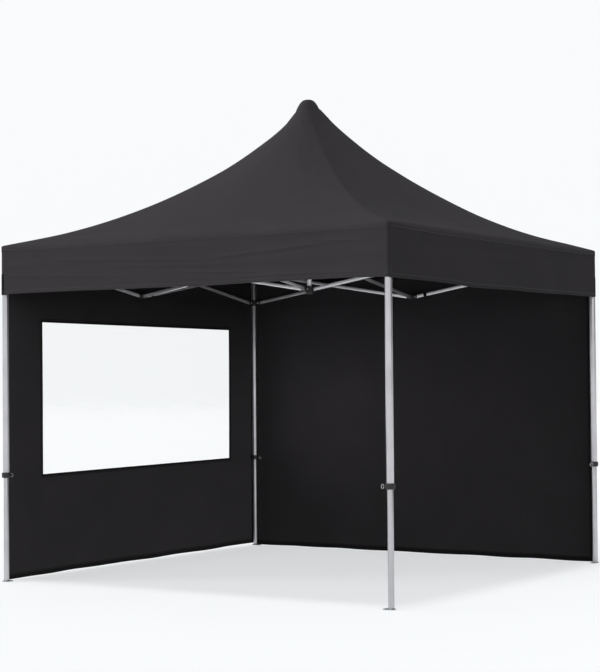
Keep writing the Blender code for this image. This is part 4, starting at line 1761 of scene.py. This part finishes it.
def studio():
    """A glowing pale floor, a pale backdrop all round it, and soft lamps."""
    paper, tree, shader = new_finish("studio_paper", Roughness=0.95)
    place = add(tree, "ShaderNodeTexCoord").outputs["Object"]
    tone = add(tree, "ShaderNodeTexNoise", {"Vector": place, "Scale": 0.4, "Detail": 1.0})
    stops = ((0.3, "#b9babb"), (0.7, "#bdbebe"))
    shade = add(tree, "ShaderNodeValToRGB", {"Fac": tone.outputs["Fac"]}, stops=stops)
    tree.links.new(shade.outputs["Color"], shader.inputs["Base Color"])
    shader.inputs["Emission Color"].default_value = colour("#fafcfe")
    shader.inputs["Emission Strength"].default_value = 0.61
    built = bmesh.new()
    bmesh.ops.create_circle(built, cap_ends=True, segments=96, radius=88.0)
    mesh = bpy.data.meshes.new("studio_floor")
    built.to_mesh(mesh)
    built.free()
    floor = link("studio_floor", mesh, paper)
    # floor and dome are seen but throw no light back on the cloth, which the lamps light
    haze, tree, shader = new_finish("studio_backdrop", Roughness=1.0)
    place = add(tree, "ShaderNodeTexCoord").outputs["Object"]
    tone = add(tree, "ShaderNodeTexNoise", {"Vector": place, "Scale": 0.02, "Detail": 1.0})
    stops = ((0.3, "#f8fafb"), (0.7, "#fafbfc"))
    shade = add(tree, "ShaderNodeValToRGB", {"Fac": tone.outputs["Fac"]}, stops=stops)
    tree.links.new(shade.outputs["Color"], shader.inputs["Emission Color"])
    shader.inputs["Emission Strength"].default_value = 1.0
    shader.inputs["Base Color"].default_value = colour("#000000")
    shader.inputs["Specular IOR Level"].default_value = 0.0
    built = bmesh.new()
    bmesh.ops.create_uvsphere(built, u_segments=48, v_segments=24, radius=89.0)
    bmesh.ops.reverse_faces(built, faces=built.faces)
    mesh = bpy.data.meshes.new("studio_backdrop")
    built.to_mesh(mesh)
    built.free()
    mesh.shade_smooth()
    dome = link("studio_backdrop", mesh, haze)
    # a dark board far behind on the right, seen by the metal only, gives the tubes a dark edge
    felt, tree, shader = new_finish("studio_felt", Roughness=1.0, Specular_IOR_Level=0.0)
    place = add(tree, "ShaderNodeTexCoord").outputs["Object"]
    tone = add(tree, "ShaderNodeTexNoise", {"Vector": place, "Scale": 0.05, "Detail": 1.0})
    stops = ((0.3, "#141415"), (0.7, "#1c1c1d"))
    shade = add(tree, "ShaderNodeValToRGB", {"Fac": tone.outputs["Fac"]}, stops=stops)
    tree.links.new(shade.outputs["Color"], shader.inputs["Base Color"])
    built = bmesh.new()
    across = Vector((math.cos(BOARD_AZIMUTH), -math.sin(BOARD_AZIMUTH), 0.0)) * BOARD_HALF_WIDTH
    away = Vector((math.sin(BOARD_AZIMUTH), math.cos(BOARD_AZIMUTH), 0.0)) * BOARD_DISTANCE
    spots = [away + across * side + Vector((0.0, 0.0, z)) for side, z in BOARD_CORNERS]
    built.faces.new([built.verts.new(spot) for spot in spots])
    mesh = bpy.data.meshes.new("studio_board")
    built.to_mesh(mesh)
    built.free()
    board = link("studio_board", mesh, felt)
    board.visible_camera = False
    board.visible_transmission = False
    board.visible_shadow = False
    board.visible_diffuse = False
    dome.visible_diffuse = False
    floor.visible_diffuse = False
    dome.visible_shadow = False
    world = bpy.data.worlds.new("studio")
    scene.world = world
    world.use_nodes = True
    sky = world.node_tree.nodes["Background"]
    sky.inputs["Color"].default_value = colour("#fbfcfd")
    sky.inputs["Strength"].default_value = 0.22
    # direction towards the lamp, strength, how wide it looks in degrees, and whether it glints
    lamps = (
        ("overhead", (0.0, -0.08, 1.0), 0.95, 9.0, True),
        ("front_left", (-0.80, -0.55, 0.12), 2.8, 20.0, False),
        ("right_fill", (0.95, -0.25, 0.0), 1.3, 30.0, False),
    )
    for name, towards, power, width, glint in lamps:
        light = bpy.data.lights.new(name, "SUN")
        light.energy = power
        light.angle = math.radians(width)
        lamp = bpy.data.objects.new(name, light)
        scene.collection.objects.link(lamp)
        lamp.rotation_mode = "QUATERNION"
        lamp.rotation_quaternion = Vector(towards).to_track_quat("Z", "Y")
        lamp.visible_glossy = glint


studio()
side_sheets()
tip_cap()
canopy()
walls()
for index, corner_name in enumerate(CORNERS):
    leg_parts(index, corner_name)
    corner_fittings(index, corner_name)
scissors()
middle()
straps()
corner_tabs()
stitches()
rivets()
